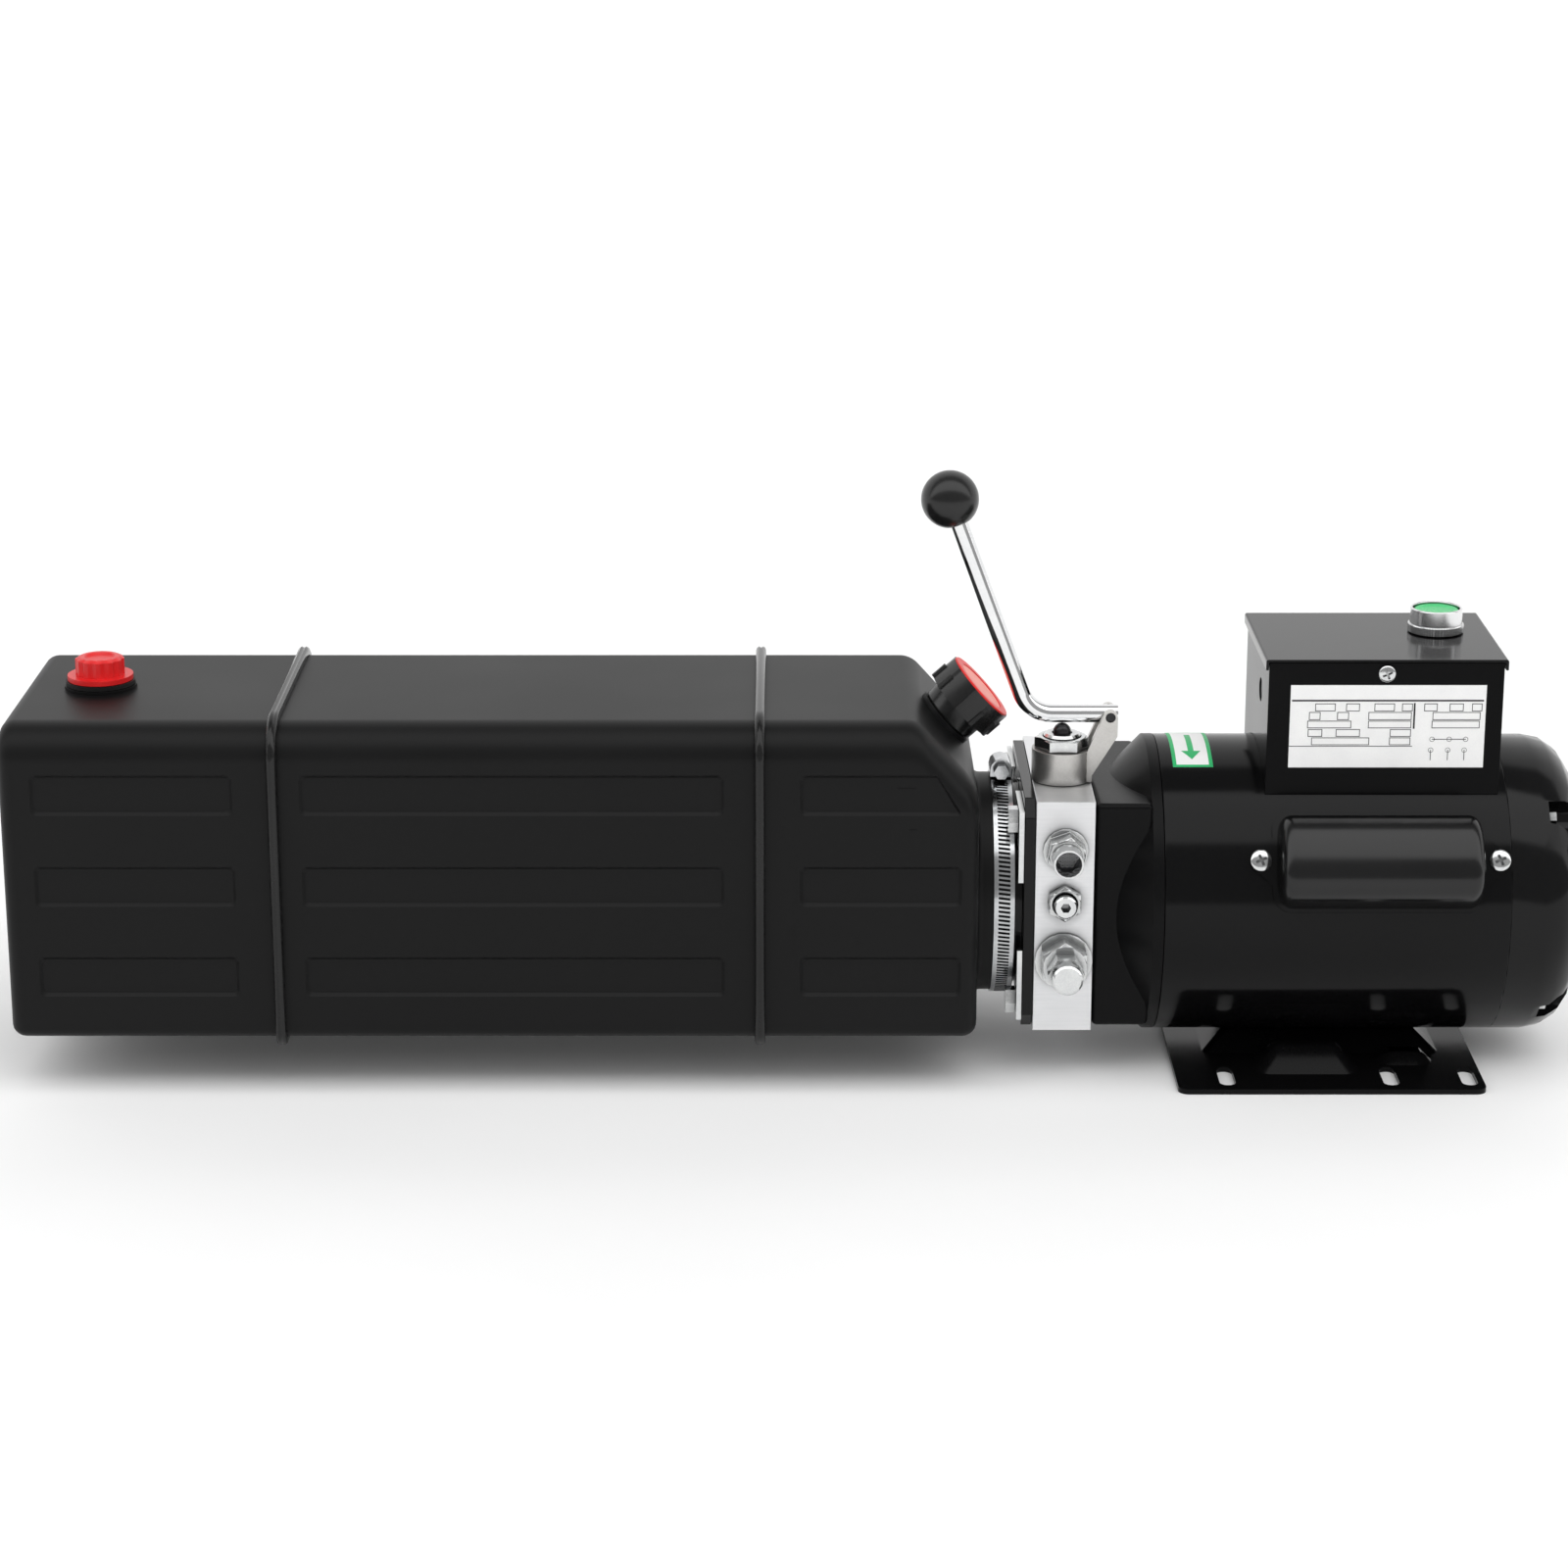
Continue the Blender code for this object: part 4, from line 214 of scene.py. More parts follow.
# Finishes that only the fine pieces below use.
pieceLooks = {
    "castPaint": {
        "dark": (0.0030, 0.0030, 0.0032), "light": (0.0046, 0.0046, 0.0048), "rough": (0.28, 0.36),
        "shine": 0.10, "patch": 16.0, "grain": 420.0, "bump": 0.05, "depth": 0.0002,
    },
    "shellPaint": {
        "dark": (0.0022, 0.0022, 0.0024), "light": (0.0034, 0.0034, 0.0036), "rough": (0.10, 0.15),
        "shine": 0.165, "patch": 16.0, "grain": 420.0, "bump": 0.03, "depth": 0.0002,
    },
    "boxPaint": {
        "dark": (0.0024, 0.0024, 0.0026), "light": (0.0036, 0.0036, 0.0038), "rough": (0.14, 0.20),
        "shine": 0.07, "patch": 16.0, "grain": 420.0, "bump": 0.03, "depth": 0.0002,
    },
    "coverPaint": {
        "dark": (0.0030, 0.0030, 0.0032), "light": (0.0046, 0.0046, 0.0048), "rough": (0.18, 0.24),
        "shine": 0.45, "patch": 16.0, "grain": 420.0, "bump": 0.03, "depth": 0.0002,
    },
    "footPaint": {
        "dark": (0.0026, 0.0026, 0.0028), "light": (0.0040, 0.0040, 0.0042), "rough": (0.16, 0.22),
        "shine": 0.12, "patch": 16.0, "grain": 420.0, "bump": 0.03, "depth": 0.0002,
    },
    "bandSteel": {
        "dark": (0.46, 0.47, 0.48), "light": (0.66, 0.67, 0.68), "rough": (0.12, 0.20), "metal": 1.0,
        "patch": 110.0, "grain": 900.0, "bump": 0.05, "depth": 0.0001, "paintedCreviceShade": 0.002,
    },
    "satinChrome": {
        "dark": (0.74, 0.75, 0.76), "light": (0.86, 0.86, 0.86), "rough": (0.16, 0.26), "metal": 1.0,
        "patch": 60.0, "grain": 900.0, "bump": 0.04, "depth": 0.0001, "paintedCreviceShade": 0.002,
    },
    "portSteel": {
        "dark": (0.40, 0.40, 0.41), "light": (0.56, 0.56, 0.57), "rough": (0.36, 0.48), "metal": 1.0,
        "patch": 90.0, "grain": 1200.0, "bump": 0.08, "depth": 0.0001,
    },
    # Painted shade: this zinc copy has a wide occlusion reach that darkens the colour in and around the
    # relief screw's hex socket.
    "socketShadeSteel": {
        "dark": (0.62, 0.63, 0.64), "light": (0.80, 0.81, 0.80), "rough": (0.12, 0.22), "metal": 1.0,
        "patch": 110.0, "grain": 900.0, "bump": 0.08, "depth": 0.0001, "paintedCreviceShade": 0.014,
    },
    "discRed": {
        "dark": (0.72, 0.018, 0.016), "light": (0.82, 0.030, 0.024), "rough": (0.32, 0.42),
        "shine": 0.3, "patch": 60.0, "grain": 1500.0, "bump": 0.06, "depth": 0.0001,
    },
    "discPale": {
        "dark": (0.90, 0.26, 0.20), "light": (0.94, 0.32, 0.26), "rough": (0.36, 0.46), "shine": 0.4,
        "patch": 40.0, "grain": 1500.0, "bump": 0.06, "depth": 0.0001,
    },
}
pieceFinishes = {name: finish(name, look) for name, look in pieceLooks.items()}
ownFinish = {"terminal_box": "boxPaint", "clamp_housing": "bandSteel", "clamp_screw": "bandSteel",
             "relief_screw": "socketShadeSteel"}
nodeSlots = {part["node"]: part["material_slot"] for part in frame["record"]["subparts"]}
print("finishes:", len(finishes) + len(pieceFinishes))


# Soft edges and smooth shading on the CAD nodes, through modifiers only.
def shadeGroup(limit):
    group = bpy.data.node_groups.new("softShading", "GeometryNodeTree")
    group.interface.new_socket("Geometry", in_out="INPUT", socket_type="NodeSocketGeometry")
    group.interface.new_socket("Geometry", in_out="OUTPUT", socket_type="NodeSocketGeometry")
    start = group.nodes.new("NodeGroupInput")
    end = group.nodes.new("NodeGroupOutput")
    faces = group.nodes.new("GeometryNodeSetShadeSmooth")
    faces.domain = "FACE"
    edges = group.nodes.new("GeometryNodeSetShadeSmooth")
    edges.domain = "EDGE"
    edges.inputs["Shade Smooth"].default_value = False
    angle = group.nodes.new("GeometryNodeInputMeshEdgeAngle")
    sharp = group.nodes.new("FunctionNodeCompare")
    sharp.operation = "GREATER_THAN"
    sharp.inputs["B"].default_value = limit
    link(group, angle.outputs["Unsigned Angle"], sharp.inputs["A"])
    link(group, start.outputs["Geometry"], faces.inputs["Geometry"])
    link(group, faces.outputs["Geometry"], edges.inputs["Geometry"])
    link(group, sharp.outputs["Result"], edges.inputs["Selection"])
    link(group, edges.outputs["Geometry"], end.inputs["Geometry"])
    return group


softShading = shadeGroup(math.radians(32.0))
# Edge rounding in millimetres for the nodes whose edges show; the rest keep the CAD edge.
edgeRounds = {
    "valve_block": 0.5, "rear_end_bell": 0.6, "terminal_box": 0.5, "box_lid": 0.6, "lever_bracket": 0.7,
    "tank_flange": 0.5, "lock_nut": 0.25, "outlet_fitting": 0.3, "relief_valve_body": 0.25,
    "check_valve_plug": 0.3, "clamp_housing": 0.3, "breather_cap": 0.45, "filler_cap": 0.4,
    "filler_cap_ring": 0.3,
}


def dress(item, edgeRound):
    weld = item.modifiers.new("weld", "WELD")
    weld.merge_threshold = 1e-6
    if edgeRound:
        ease = item.modifiers.new("ease", "BEVEL")
        ease.width = edgeRound * mm
        ease.segments = 3
        ease.limit_method = "ANGLE"
        ease.angle_limit = math.radians(35.0)
    item.modifiers.new("shading", "NODES").node_group = softShading
    even = item.modifiers.new("even", "WEIGHTED_NORMAL")
    even.keep_sharp = True


for name, node in frame["nodes"].items():
    node.data.materials.clear()
    own = pieceFinishes[ownFinish[name]] if name in ownFinish else finishes[nodeSlots[name]]
    node.data.materials.append(own)
    dress(node, edgeRounds.get(name))
print("nodes dressed")


# Mesh helpers. Places are given from the shaft centre.
alongShaft = (0.0, math.pi / 2, 0.0)


def faceOut(mesh):
    bmesh.ops.recalc_face_normals(mesh, faces=mesh.faces)


def shift(mesh, offset):
    bmesh.ops.translate(mesh, vec=offset, verts=mesh.verts)


def seal(mesh):
    bmesh.ops.remove_doubles(mesh, verts=mesh.verts, dist=1e-7)


def inMm(profile):
    return [(radius * mm, height * mm) for radius, height in profile]


# Profile of a plain round bar.
def rod(radius, low, high):
    return [(0.0, low), (radius, low), (radius, high), (0.0, high)]


# Faces between two closed loops with as many points each.
def bridge(mesh, first, second):
    for step in range(len(first)):
        after = (step + 1) % len(first)
        mesh.faces.new((first[step], first[after], second[after], second[step]))


# A rounded end in steps: how far in from the end, and how much smaller it is there.
def easedEnd(radius, steps):
    turns = [math.pi / 2 * step / steps for step in range(steps + 1)]
    return [(radius * (1 - math.sin(turn)), radius * (1 - math.cos(turn))) for turn in turns]


def addPiece(name, mesh, material, body, smoothBelow=32.0):
    faceOut(mesh)
    for face in mesh.faces:
        face.smooth = True
    for edge in mesh.edges:
        edge.smooth = len(edge.link_faces) == 2 and edge.calc_face_angle() < math.radians(smoothBelow)
    data = bpy.data.meshes.new(name)
    mesh.to_mesh(data)
    mesh.free()
    data.materials.append(material)
    made = bpy.data.objects.new(name, data)
    bpy.context.scene.collection.objects.link(made)
    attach(made, body)
    return made


# A profile of radius and height, turned round its axis, tilted by turn about x then y.
def turnedMesh(profile, count, place, turn=(0.0, 0.0), wave=None):
    mesh = bmesh.new()
    loops = []
    for radius, height in profile:
        if radius == 0.0:
            loops.append([mesh.verts.new((0.0, 0.0, height))])
            continue
        loop = []
        for step in range(count):
            angle = 2 * math.pi * step / count
            size = radius + (wave(step, height) if wave else 0.0)
            loop.append(mesh.verts.new((size * math.cos(angle), size * math.sin(angle), height)))
        loops.append(loop)
    for first, second in zip(loops, loops[1:]):
        if len(first) == len(second):
            bridge(mesh, first, second)
            continue
        for step in range(count):
            after = (step + 1) % count
            if len(first) == 1:
                mesh.faces.new((first[0], second[step], second[after]))
            else:
                mesh.faces.new((first[step], first[after], second[0]))
    spin = Matrix.Rotation(turn[1], 4, "Y") @ Matrix.Rotation(turn[0], 4, "X")
    bmesh.ops.transform(mesh, matrix=Matrix.Translation(shaft + Vector(place)) @ spin, verts=mesh.verts)
    return mesh


def sweptMesh(path, radius, count):
    mesh = bmesh.new()
    loops = []
    for step, point in enumerate(path):
        before, after = path[max(step - 1, 0)], path[min(step + 1, len(path) - 1)]
        along = (after - before).normalized()
        across = Vector((0.0, 1.0, 0.0))
        up = along.cross(across).normalized()
        loop = []
        for turn in range(count):
            angle = 2 * math.pi * turn / count
            spot = point + radius * (math.cos(angle) * across + math.sin(angle) * up)
            loop.append(mesh.verts.new(shaft + spot))
        loops.append(loop)
    for first, second in zip(loops, loops[1:]):
        bridge(mesh, first, second)
    mesh.faces.new(loops[0])
    mesh.faces.new(loops[-1])
    return mesh


def roundedCorner(middle, radius, start, end, steps):
    points = []
    for step in range(steps + 1):
        angle = math.radians(start + (end - start) * step / steps)
        points.append((middle[0] + radius * math.cos(angle), middle[1] + radius * math.sin(angle)))
    return points


# A skin over loops of points with as many points each, closed by flat ends or into a ring.
def loftMesh(loops, ring=False):
    mesh = bmesh.new()
    rows = [[mesh.verts.new(Vector(point) * mm) for point in loop] for loop in loops]
    pairs = list(zip(rows, rows[1:]))
    if ring:
        pairs.append((rows[-1], rows[0]))
    else:
        mesh.faces.new(rows[0])
        mesh.faces.new(rows[-1])
    for first, second in pairs:
        bridge(mesh, first, second)
    seal(mesh)
    faceOut(mesh)
    return mesh


def prismMesh(outline, low, high):
    return loftMesh([[(x, y, level) for x, y in outline] for level in (low, high)])


def joined(meshes):
    whole = bmesh.new()
    for mesh in meshes:
        data = bpy.data.meshes.new("blank")
        mesh.to_mesh(data)
        mesh.free()
        whole.from_mesh(data)
        bpy.data.meshes.remove(data)
    return whole


def roundedBox(length, depth, corner, steps, middle=(0.0, 0.0)):
    points = []
    for quarter, (a, b) in enumerate(((1, 1), (-1, 1), (-1, -1), (1, -1))):
        place = (middle[0] + a * (length / 2 - corner), middle[1] + b * (depth / 2 - corner))
        points += roundedCorner(place, corner, 90 * quarter, 90 * quarter + 90, steps)
    return points


# One solid less others, or several joined, worked out once and kept as plain mesh.
def carved(base, tools, operation):
    items = []
    for mesh in (base, *tools):
        data = bpy.data.meshes.new("blank")
        mesh.to_mesh(data)
        mesh.free()
        item = bpy.data.objects.new("blank", data)
        bpy.context.scene.collection.objects.link(item)
        items.append(item)
    for tool in items[1:]:
        step = items[0].modifiers.new("step", "BOOLEAN")
        step.operation = operation
        step.solver = "EXACT"
        step.object = tool
    whole = items[0].evaluated_get(bpy.context.evaluated_depsgraph_get())
    result = bpy.data.meshes.new_from_object(whole)
    mesh = bmesh.new()
    mesh.from_mesh(result)
    for item in items:
        data = item.data
        bpy.data.objects.remove(item)
        bpy.data.meshes.remove(data)
    bpy.data.meshes.remove(result)
    return mesh


# Motor shell with a fine round surface and eased ends.
shellLook = {
    "radius": shellRadius * mm, "wall": 3.0 * mm, "start": -shellFront * mm, "end": 93.0 * mm,
    "ease": 0.7 * mm, "steps": 180,
}


def makeShell(look):
    outer, inner, ease = look["radius"], look["radius"] - look["wall"], look["ease"]
    profile = [(inner, look["start"])]
    profile += roundedCorner((outer - ease, look["start"] + ease), ease, 270, 360, 4)
    profile += roundedCorner((outer - ease, look["end"] - ease), ease, 0, 90, 4)
    profile += [(inner, look["end"]), (inner, look["start"])]
    mesh = turnedMesh(profile, look["steps"], (0, 0, 0), alongShaft)
    seal(mesh)
    made = addPiece("motorShell", mesh, pieceFinishes["shellPaint"], "frame")
    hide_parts("motor_shell")


makeShell(shellLook)

# Front end bell: a square body that opens into a round cone beside the shell.
bellLook = {
    "start": -131.5, "square": 127.4, "edge": 3.0, "rim": -100.5, "end": -94.8, "radius": shellRadius,
    "coneRise": 24.0, "sides": 160, "round": 0.6, "floor": -127.0, "floorRadius": 54.0,
    "wallRadius": 77.0, "bore": 20.3, "boreSides": 48, "overcut": 1.0,
}


def makeBell(look):
    square = bmesh.new()
    bmesh.ops.create_cube(square, size=1.0)
    length, side = (look["rim"] - look["start"]) * mm, look["square"] * mm
    bmesh.ops.scale(square, vec=(length, side, side), verts=square.verts)
    shift(square, shaft + Vector((look["start"] * mm + length / 2, 0.0, 0.0)))
    bmesh.ops.bevel(square, geom=square.edges[:], offset=look["edge"] * mm, segments=4, profile=0.5,
                    affect="EDGES")
    outer, rise = look["radius"] * mm, look["coneRise"] * mm
    rim, end = look["rim"] * mm, look["end"] * mm
    profile = [(0.0, rim - rise), (outer - rise, rim - rise), (outer, rim), (outer, end), (0.0, end)]
    cone = turnedMesh(profile, look["sides"], (0, 0, 0), alongShaft)
    faceOut(cone)
    floor, wall, over = look["floor"] * mm, look["wallRadius"] * mm, look["overcut"]
    profile = [(0.0, floor), (look["floorRadius"] * mm, floor), (wall, rim), (wall, end + over * mm),
               (0.0, end + over * mm)]
    hollow = turnedMesh(profile, look["sides"], (0, 0, 0), alongShaft)
    profile = inMm(rod(look["bore"], look["start"] - over, look["floor"] + over))
    bore = turnedMesh(profile, look["boreSides"], (0, 0, 0), alongShaft)
    for tool in (hollow, bore):
        faceOut(tool)
    body = carved(carved(square, [cone], "UNION"), [hollow, bore], "DIFFERENCE")
    made = addPiece("frontBell", body, pieceFinishes["castPaint"], "frame")
    dress(made, look["round"])
    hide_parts("front_end_bell")


makeBell(bellLook)

# Tank: a long moulded box with generous top edges, a sloped corner, a round neck and shallow panels.
tankLook = {
    "start": -721.5, "end": -195.5, "half": 86.0, "top": 112.4, "floor": -63.0, "topRound": 20.0,
    "floorRound": 6.0, "endRound": 8.0, "run": 33.0, "drop": 36.5, "browRound": 14.0, "wall": 4.0,
    "neck": 61.0, "neckEnd": -174.0, "flare": 4.0, "fillerBoss": 17.6, "fillerBossTop": 2.5,
    "fillerNeck": 15.0, "fillerTop": 23.2, "fillerBore": 12.0, "fillerPlace": (-212.0, 0.0, 94.15),
    "breatherPlace": (-678.0, 0.0, 112.4), "breatherBoss": 19.8, "breatherTop": 2.0,
    "breatherBore": 10.0, "round": 0.9, "neckRoot": 15.0, "neckSides": 120, "fillerRoot": 8.0,
    "fillerBoreRoot": 12.0, "breatherRoot": 2.0, "breatherBoreRoot": 8.0, "overcut": 2.0,
    "endSteps": 6, "browLead": 40.0, "browStart": 6.5, "browSteps": 12,
}
panelLook = {
    "columns": ((-704.0, -595.5), (-560.0, -332.5), (-292.0, -204.5)), "middle": 24.1, "pitch": 51.3,
    "height": 22.7, "depth": 1.8, "corner": 3.0, "lean": 13.5,
}
hoopLook = {
    "places": (-574.0, -313.5), "gap": 0.3,
    "section": ((-2.9, 0.0), (-2.9, 2.6), (-2.4, 3.9), (-1.3, 4.7), (-0.5, 4.3), (0.0, 4.1),
                (0.5, 4.3), (1.3, 4.7), (2.4, 3.9), (2.9, 2.6), (2.9, 0.0)),
}


def tankTop(look, x):
    slope = math.atan2(look["drop"], look["run"])
    brow = look["end"] - look["run"]
    reach = look["browRound"] * math.tan(slope / 2)
    if x <= brow - reach:
        return look["top"]
    if x <= brow + reach * math.cos(slope):
        return look["top"] - look["browRound"] + math.sqrt(look["browRound"] ** 2 - (x - brow + reach) ** 2)
    return look["top"] - (x - brow) * math.tan(slope)


def tankLoop(look, x, less):
    side, top, floor = look["half"] - less, tankTop(look, x) - less, look["floor"] + less
    high, low = max(look["topRound"] - less, 1.0), max(look["floorRound"] - less, 1.0)
    loop = []
    for number, (a, b) in enumerate(((1, 1), (-1, 1), (-1, -1), (1, -1))):
        radius = high if b > 0 else low
        middle = (a * (side - radius), top - radius if b > 0 else floor + radius)
        loop += roundedCorner(middle, radius, 90 * number, 90 * number + 90, 12 if b > 0 else 6)
    return [(x, y, z) for y, z in loop]


def tankSkin(look, wall):
    brow = look["end"] - look["run"]
    ends = easedEnd(look["endRound"] - wall, look["endSteps"])
    stations = [(look["start"] + wall + inset, less) for inset, less in reversed(ends)]
    stations.append((brow - look["browLead"], 0.0))
    stations += [(brow - look["browStart"] + step, 0.0) for step in range(look["browSteps"])]
    stations += [(look["end"] - wall - inset, less) for inset, less in ends]
    return loftMesh([tankLoop(look, x, less + wall) for x, less in stations])


def panelTools(look, face):
    tools = []
    for row in (-1, 0, 1):
        middle = look["middle"] + row * look["pitch"]
        low, high = middle - look["height"] / 2, middle + look["height"] / 2
        for number, (start, end) in enumerate(look["columns"]):
            for side in (-1, 1):
                loops = []
                for out, level in ((-2.0, face + 2.0), (look["depth"], face - look["depth"])):
                    line = roundedBox(end - start - 2 * out, high - low - 2 * out, look["corner"], 4,
                                      ((start + end) / 2, middle))
                    if row == 1 and number == 2:
                        slant = look["lean"] / (high - low)
                        line = [(min(x, end - out - slant * (z - low)), z) for x, z in line]
                    loops.append([(x, side * level, z) for x, z in line])
                tools.append(loftMesh(loops))
    return joined(tools)


def plug(profile, place, turn=(0.0, 0.0), count=64):
    mesh = turnedMesh(inMm(profile), count, Vector(place) * mm, turn)
    shift(mesh, -shaft)
    faceOut(mesh)
    return mesh


def makeTank(look):
    lean = (0.0, math.atan2(look["drop"], look["run"]))
    inner, flare, over = look["neck"], look["flare"], look["overcut"]
    root, neckEnd, sides = look["end"] - look["neckRoot"], look["neckEnd"], look["neckSides"]
    filler, fillerTop, bossTop = look["fillerPlace"], look["fillerTop"], look["fillerBossTop"]
    breather, seatTop = look["breatherPlace"], look["breatherTop"]
    neck = [(0.0, root), (inner + flare, root)]
    neck += roundedCorner((inner + flare, look["end"] + flare), flare, 270, 180, 6)
    neck += [(inner, neckEnd), (0.0, neckEnd)]
    boss = [(0.0, -look["fillerRoot"]), (look["fillerBoss"], -look["fillerRoot"]),
            (look["fillerBoss"], bossTop), (look["fillerNeck"], bossTop), (look["fillerNeck"], fillerTop),
            (0.0, fillerTop)]
    seat = rod(look["breatherBoss"], -look["breatherRoot"], seatTop)
    solids = [plug(neck, (0, 0, 0), alongShaft, sides), plug(boss, filler, lean), plug(seat, breather)]
    body = carved(tankSkin(look, 0.0), solids, "UNION")
    cuts = [tankSkin(look, look["wall"]),
            plug(rod(inner - look["wall"], root, neckEnd + over), (0, 0, 0), alongShaft, sides),
            plug(rod(look["fillerBore"], -look["fillerBoreRoot"], fillerTop + over), filler, lean),
            plug(rod(look["breatherBore"], -look["breatherBoreRoot"], seatTop + over), breather),
            panelTools(panelLook, look["half"])]
    body = carved(body, cuts, "DIFFERENCE")
    shift(body, shaft)
    made = addPiece("tankBody", body, finishes["tank_plastic"], "frame")
    dress(made, look["round"])
    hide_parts("tank")


def makeHoops(look):
    hoops = (("hoopLeft", "tank_hoop_left"), ("hoopRight", "tank_hoop_right"))
    for (name, node), place in zip(hoops, look["places"]):
        rings = [tankLoop(tankLook, place + across, -look["gap"] - rise) for across, rise in look["section"]]
        mesh = loftMesh(list(zip(*rings)), True)
        shift(mesh, shaft)
        made = addPiece(name, mesh, finishes["hoop_rubber"], "frame", 50.0)
        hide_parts(node)


makeTank(tankLook)
makeHoops(hoopLook)
print("tank and hoops made")

# Pressed foot plate: slotted sheet, the seat under the shell and soft humps on both sides.
footLook = {
    "length": 169.0, "depth": 171.4, "corner": 6.0, "floor": -95.5, "sheet": 3.0,
    "slots": (-56.7, 33.4, 76.5), "slotOffset": 65.0, "slotWidth": 8.8, "slotLength": 28.0,
    "seatLength": 132.0, "seatDepth": 58.0, "seatRise": 9.7, "seatDraft": 12.0, "seatCorner": 4.0,
    "root": 1.0, "overcut": 2.0, "round": 0.5,
}
# Each hump is made on both sides; reach is how far its slopes come in, bulge how round they are.
humpLooks = (
    {"x": -11.0, "y": 46.1, "length": 58.0, "depth": 32.8, "corner": 9.0, "height": 13.0, "reach": 13.5,
     "bulge": 1.2, "steps": 8, "leastCorner": 0.8},
    {"x": 44.5, "y": 39.5, "length": 32.0, "depth": 18.0, "corner": 8.6, "height": 6.5, "reach": 7.5,
     "bulge": 1.2, "steps": 8, "leastCorner": 0.8},
)


def humpMesh(look, side, top, root):
    middle = (look["x"], side * look["y"])
    line = roundedBox(look["length"], look["depth"], look["corner"], 8, middle)
    loops = [[(x, y, top - root) for x, y in line]]
    for step in range(look["steps"] + 1):
        less = look["reach"] * step / look["steps"]
        rise = look["height"] * (1 - (1 - step / look["steps"]) ** look["bulge"])
        corner = max(look["corner"] - less / 2, look["leastCorner"])
        line = roundedBox(look["length"] - 2 * less, look["depth"] - 2 * less, corner, 8, middle)
        loops.append([(x, y, top + rise) for x, y in line])
    return loftMesh(loops)


def makeFoot(look):
    top = look["floor"] + look["sheet"]
    plate = prismMesh(roundedBox(look["length"], look["depth"], look["corner"], 8), look["floor"], top)
    seat = []
    for level, less in ((-look["root"], 0.0), (0.0, 0.0), (look["seatRise"], look["seatDraft"])):
        line = roundedBox(look["seatLength"] - 2 * less, look["seatDepth"] - 2 * less, look["seatCorner"], 6)
        seat.append([(x, y, top + level) for x, y in line])
    forms = [loftMesh(seat)]
    forms += [humpMesh(hump, side, top, look["root"]) for hump in humpLooks for side in (-1, 1)]
    slots = []
    # The corner stays just under half the width, so that no two points meet.
    corner = look["slotWidth"] / 2 - 0.01
    for x in look["slots"]:
        for side in (-1, 1):
            middle = (x, side * look["slotOffset"])
            line = roundedBox(look["slotWidth"], look["slotLength"], corner, 8, middle)
            slots.append(prismMesh(line, look["floor"] - look["overcut"], top + look["overcut"]))
    body = carved(carved(plate, [joined(forms)], "UNION"), [joined(slots)], "DIFFERENCE")
    shift(body, shaft)
    made = addPiece("footPlate", body, pieceFinishes["footPaint"], "frame")
    dress(made, look["round"])
    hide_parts("foot_plate")


makeFoot(footLook)

# Capacitor cover: a soft arched tray on a rim that lies on the shell.
coverLook = {
    "angle": 25.0, "middle": 21.5, "length": 109.0, "width": 49.0, "height": 20.5, "skirt": 2.0,
    "fullness": 2.4, "tilt": -12.0, "endRound": 7.0, "rimLength": 116.0, "rimWidth": 54.5,
    "rimCorner": 10.0, "tabWidth": 44.0, "tabStart": 47.0, "tip": 64.5, "tipRadius": 6.0, "sheet": 1.8,
    "gap": 0.3, "trayGap": 0.8, "shell": shellRadius, "sides": 240, "archSteps": 40, "endSteps": 8,
    "round": 1.0,
}


def makeCover(look):
    high = look["height"]
    rimLine = roundedBox(look["rimLength"], look["rimWidth"], look["rimCorner"], 10)
    half, start = look["tabWidth"] / 2, look["tabStart"]
    right = [(start, -half)]
    right += roundedCorner((look["tip"], 0.0), look["tipRadius"], -60, 60, 14) + [(start, half)]
    tabLine = right + [(-x, -y) for x, y in right]

    def roundBar(gap):
        radius, reach = (look["shell"] + gap) * mm, look["length"] * mm
        bar = turnedMesh(rod(radius, -reach, reach), look["sides"], (0, 0, 0), alongShaft)
        shift(bar, -shaft - Vector((0.0, 0.0, look["shell"] * mm)))
        faceOut(bar)
        return bar

    sheet = carved(prismMesh(rimLine, -high, high), [prismMesh(tabLine, -high, high)], "UNION")
    sheet = carved(sheet, [roundBar(look["sheet"] + look["gap"])], "INTERSECT")
    ends = easedEnd(look["endRound"], look["endSteps"])
    stations = [(inset - look["length"] / 2, less) for inset, less in reversed(ends)]
    stations += [(look["length"] / 2 - inset, less) for inset, less in ends]
    loops = []
    for x, less in stations:
        side, rise = look["width"] / 2 - less, look["height"] - look["skirt"] - less
        loop = [(x, -side, -high)]
        for step in range(look["archSteps"] + 1):
            turn = math.pi * (1 - step / look["archSteps"])
            y = abs(math.cos(turn)) ** (2 / look["fullness"]) * math.copysign(1.0, math.cos(turn))
            z = abs(math.sin(turn)) ** (2 / look["fullness"])
            loop.append((x, y * side, look["skirt"] + z * rise))
        loops.append(loop + [(x, side, -high)])
    tray = loftMesh(loops)
    tilt = Matrix.Rotation(math.radians(look["tilt"]), 4, "X")
    bmesh.ops.transform(tray, matrix=tilt, verts=tray.verts)
    sheet = carved(sheet, [roundBar(look["gap"])], "DIFFERENCE")
    tray = carved(tray, [roundBar(look["trayGap"])], "DIFFERENCE")
    angle = math.radians(look["angle"])
    seat = Vector((look["middle"], -look["shell"] * math.cos(angle), look["shell"] * math.sin(angle))) * mm
    place = Matrix.Translation(shaft + seat) @ Matrix.Rotation(math.pi / 2 - angle, 4, "X")
    for name, mesh, paint in (("capacitorCover", tray, "coverPaint"), ("coverRim", sheet, "shellPaint")):
        bmesh.ops.transform(mesh, matrix=place, verts=mesh.verts)
        made = addPiece(name, mesh, pieceFinishes[paint], "frame")
        dress(made, look["round"])
        if name == "capacitorCover":
            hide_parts("capacitor_cover")


makeCover(coverLook)

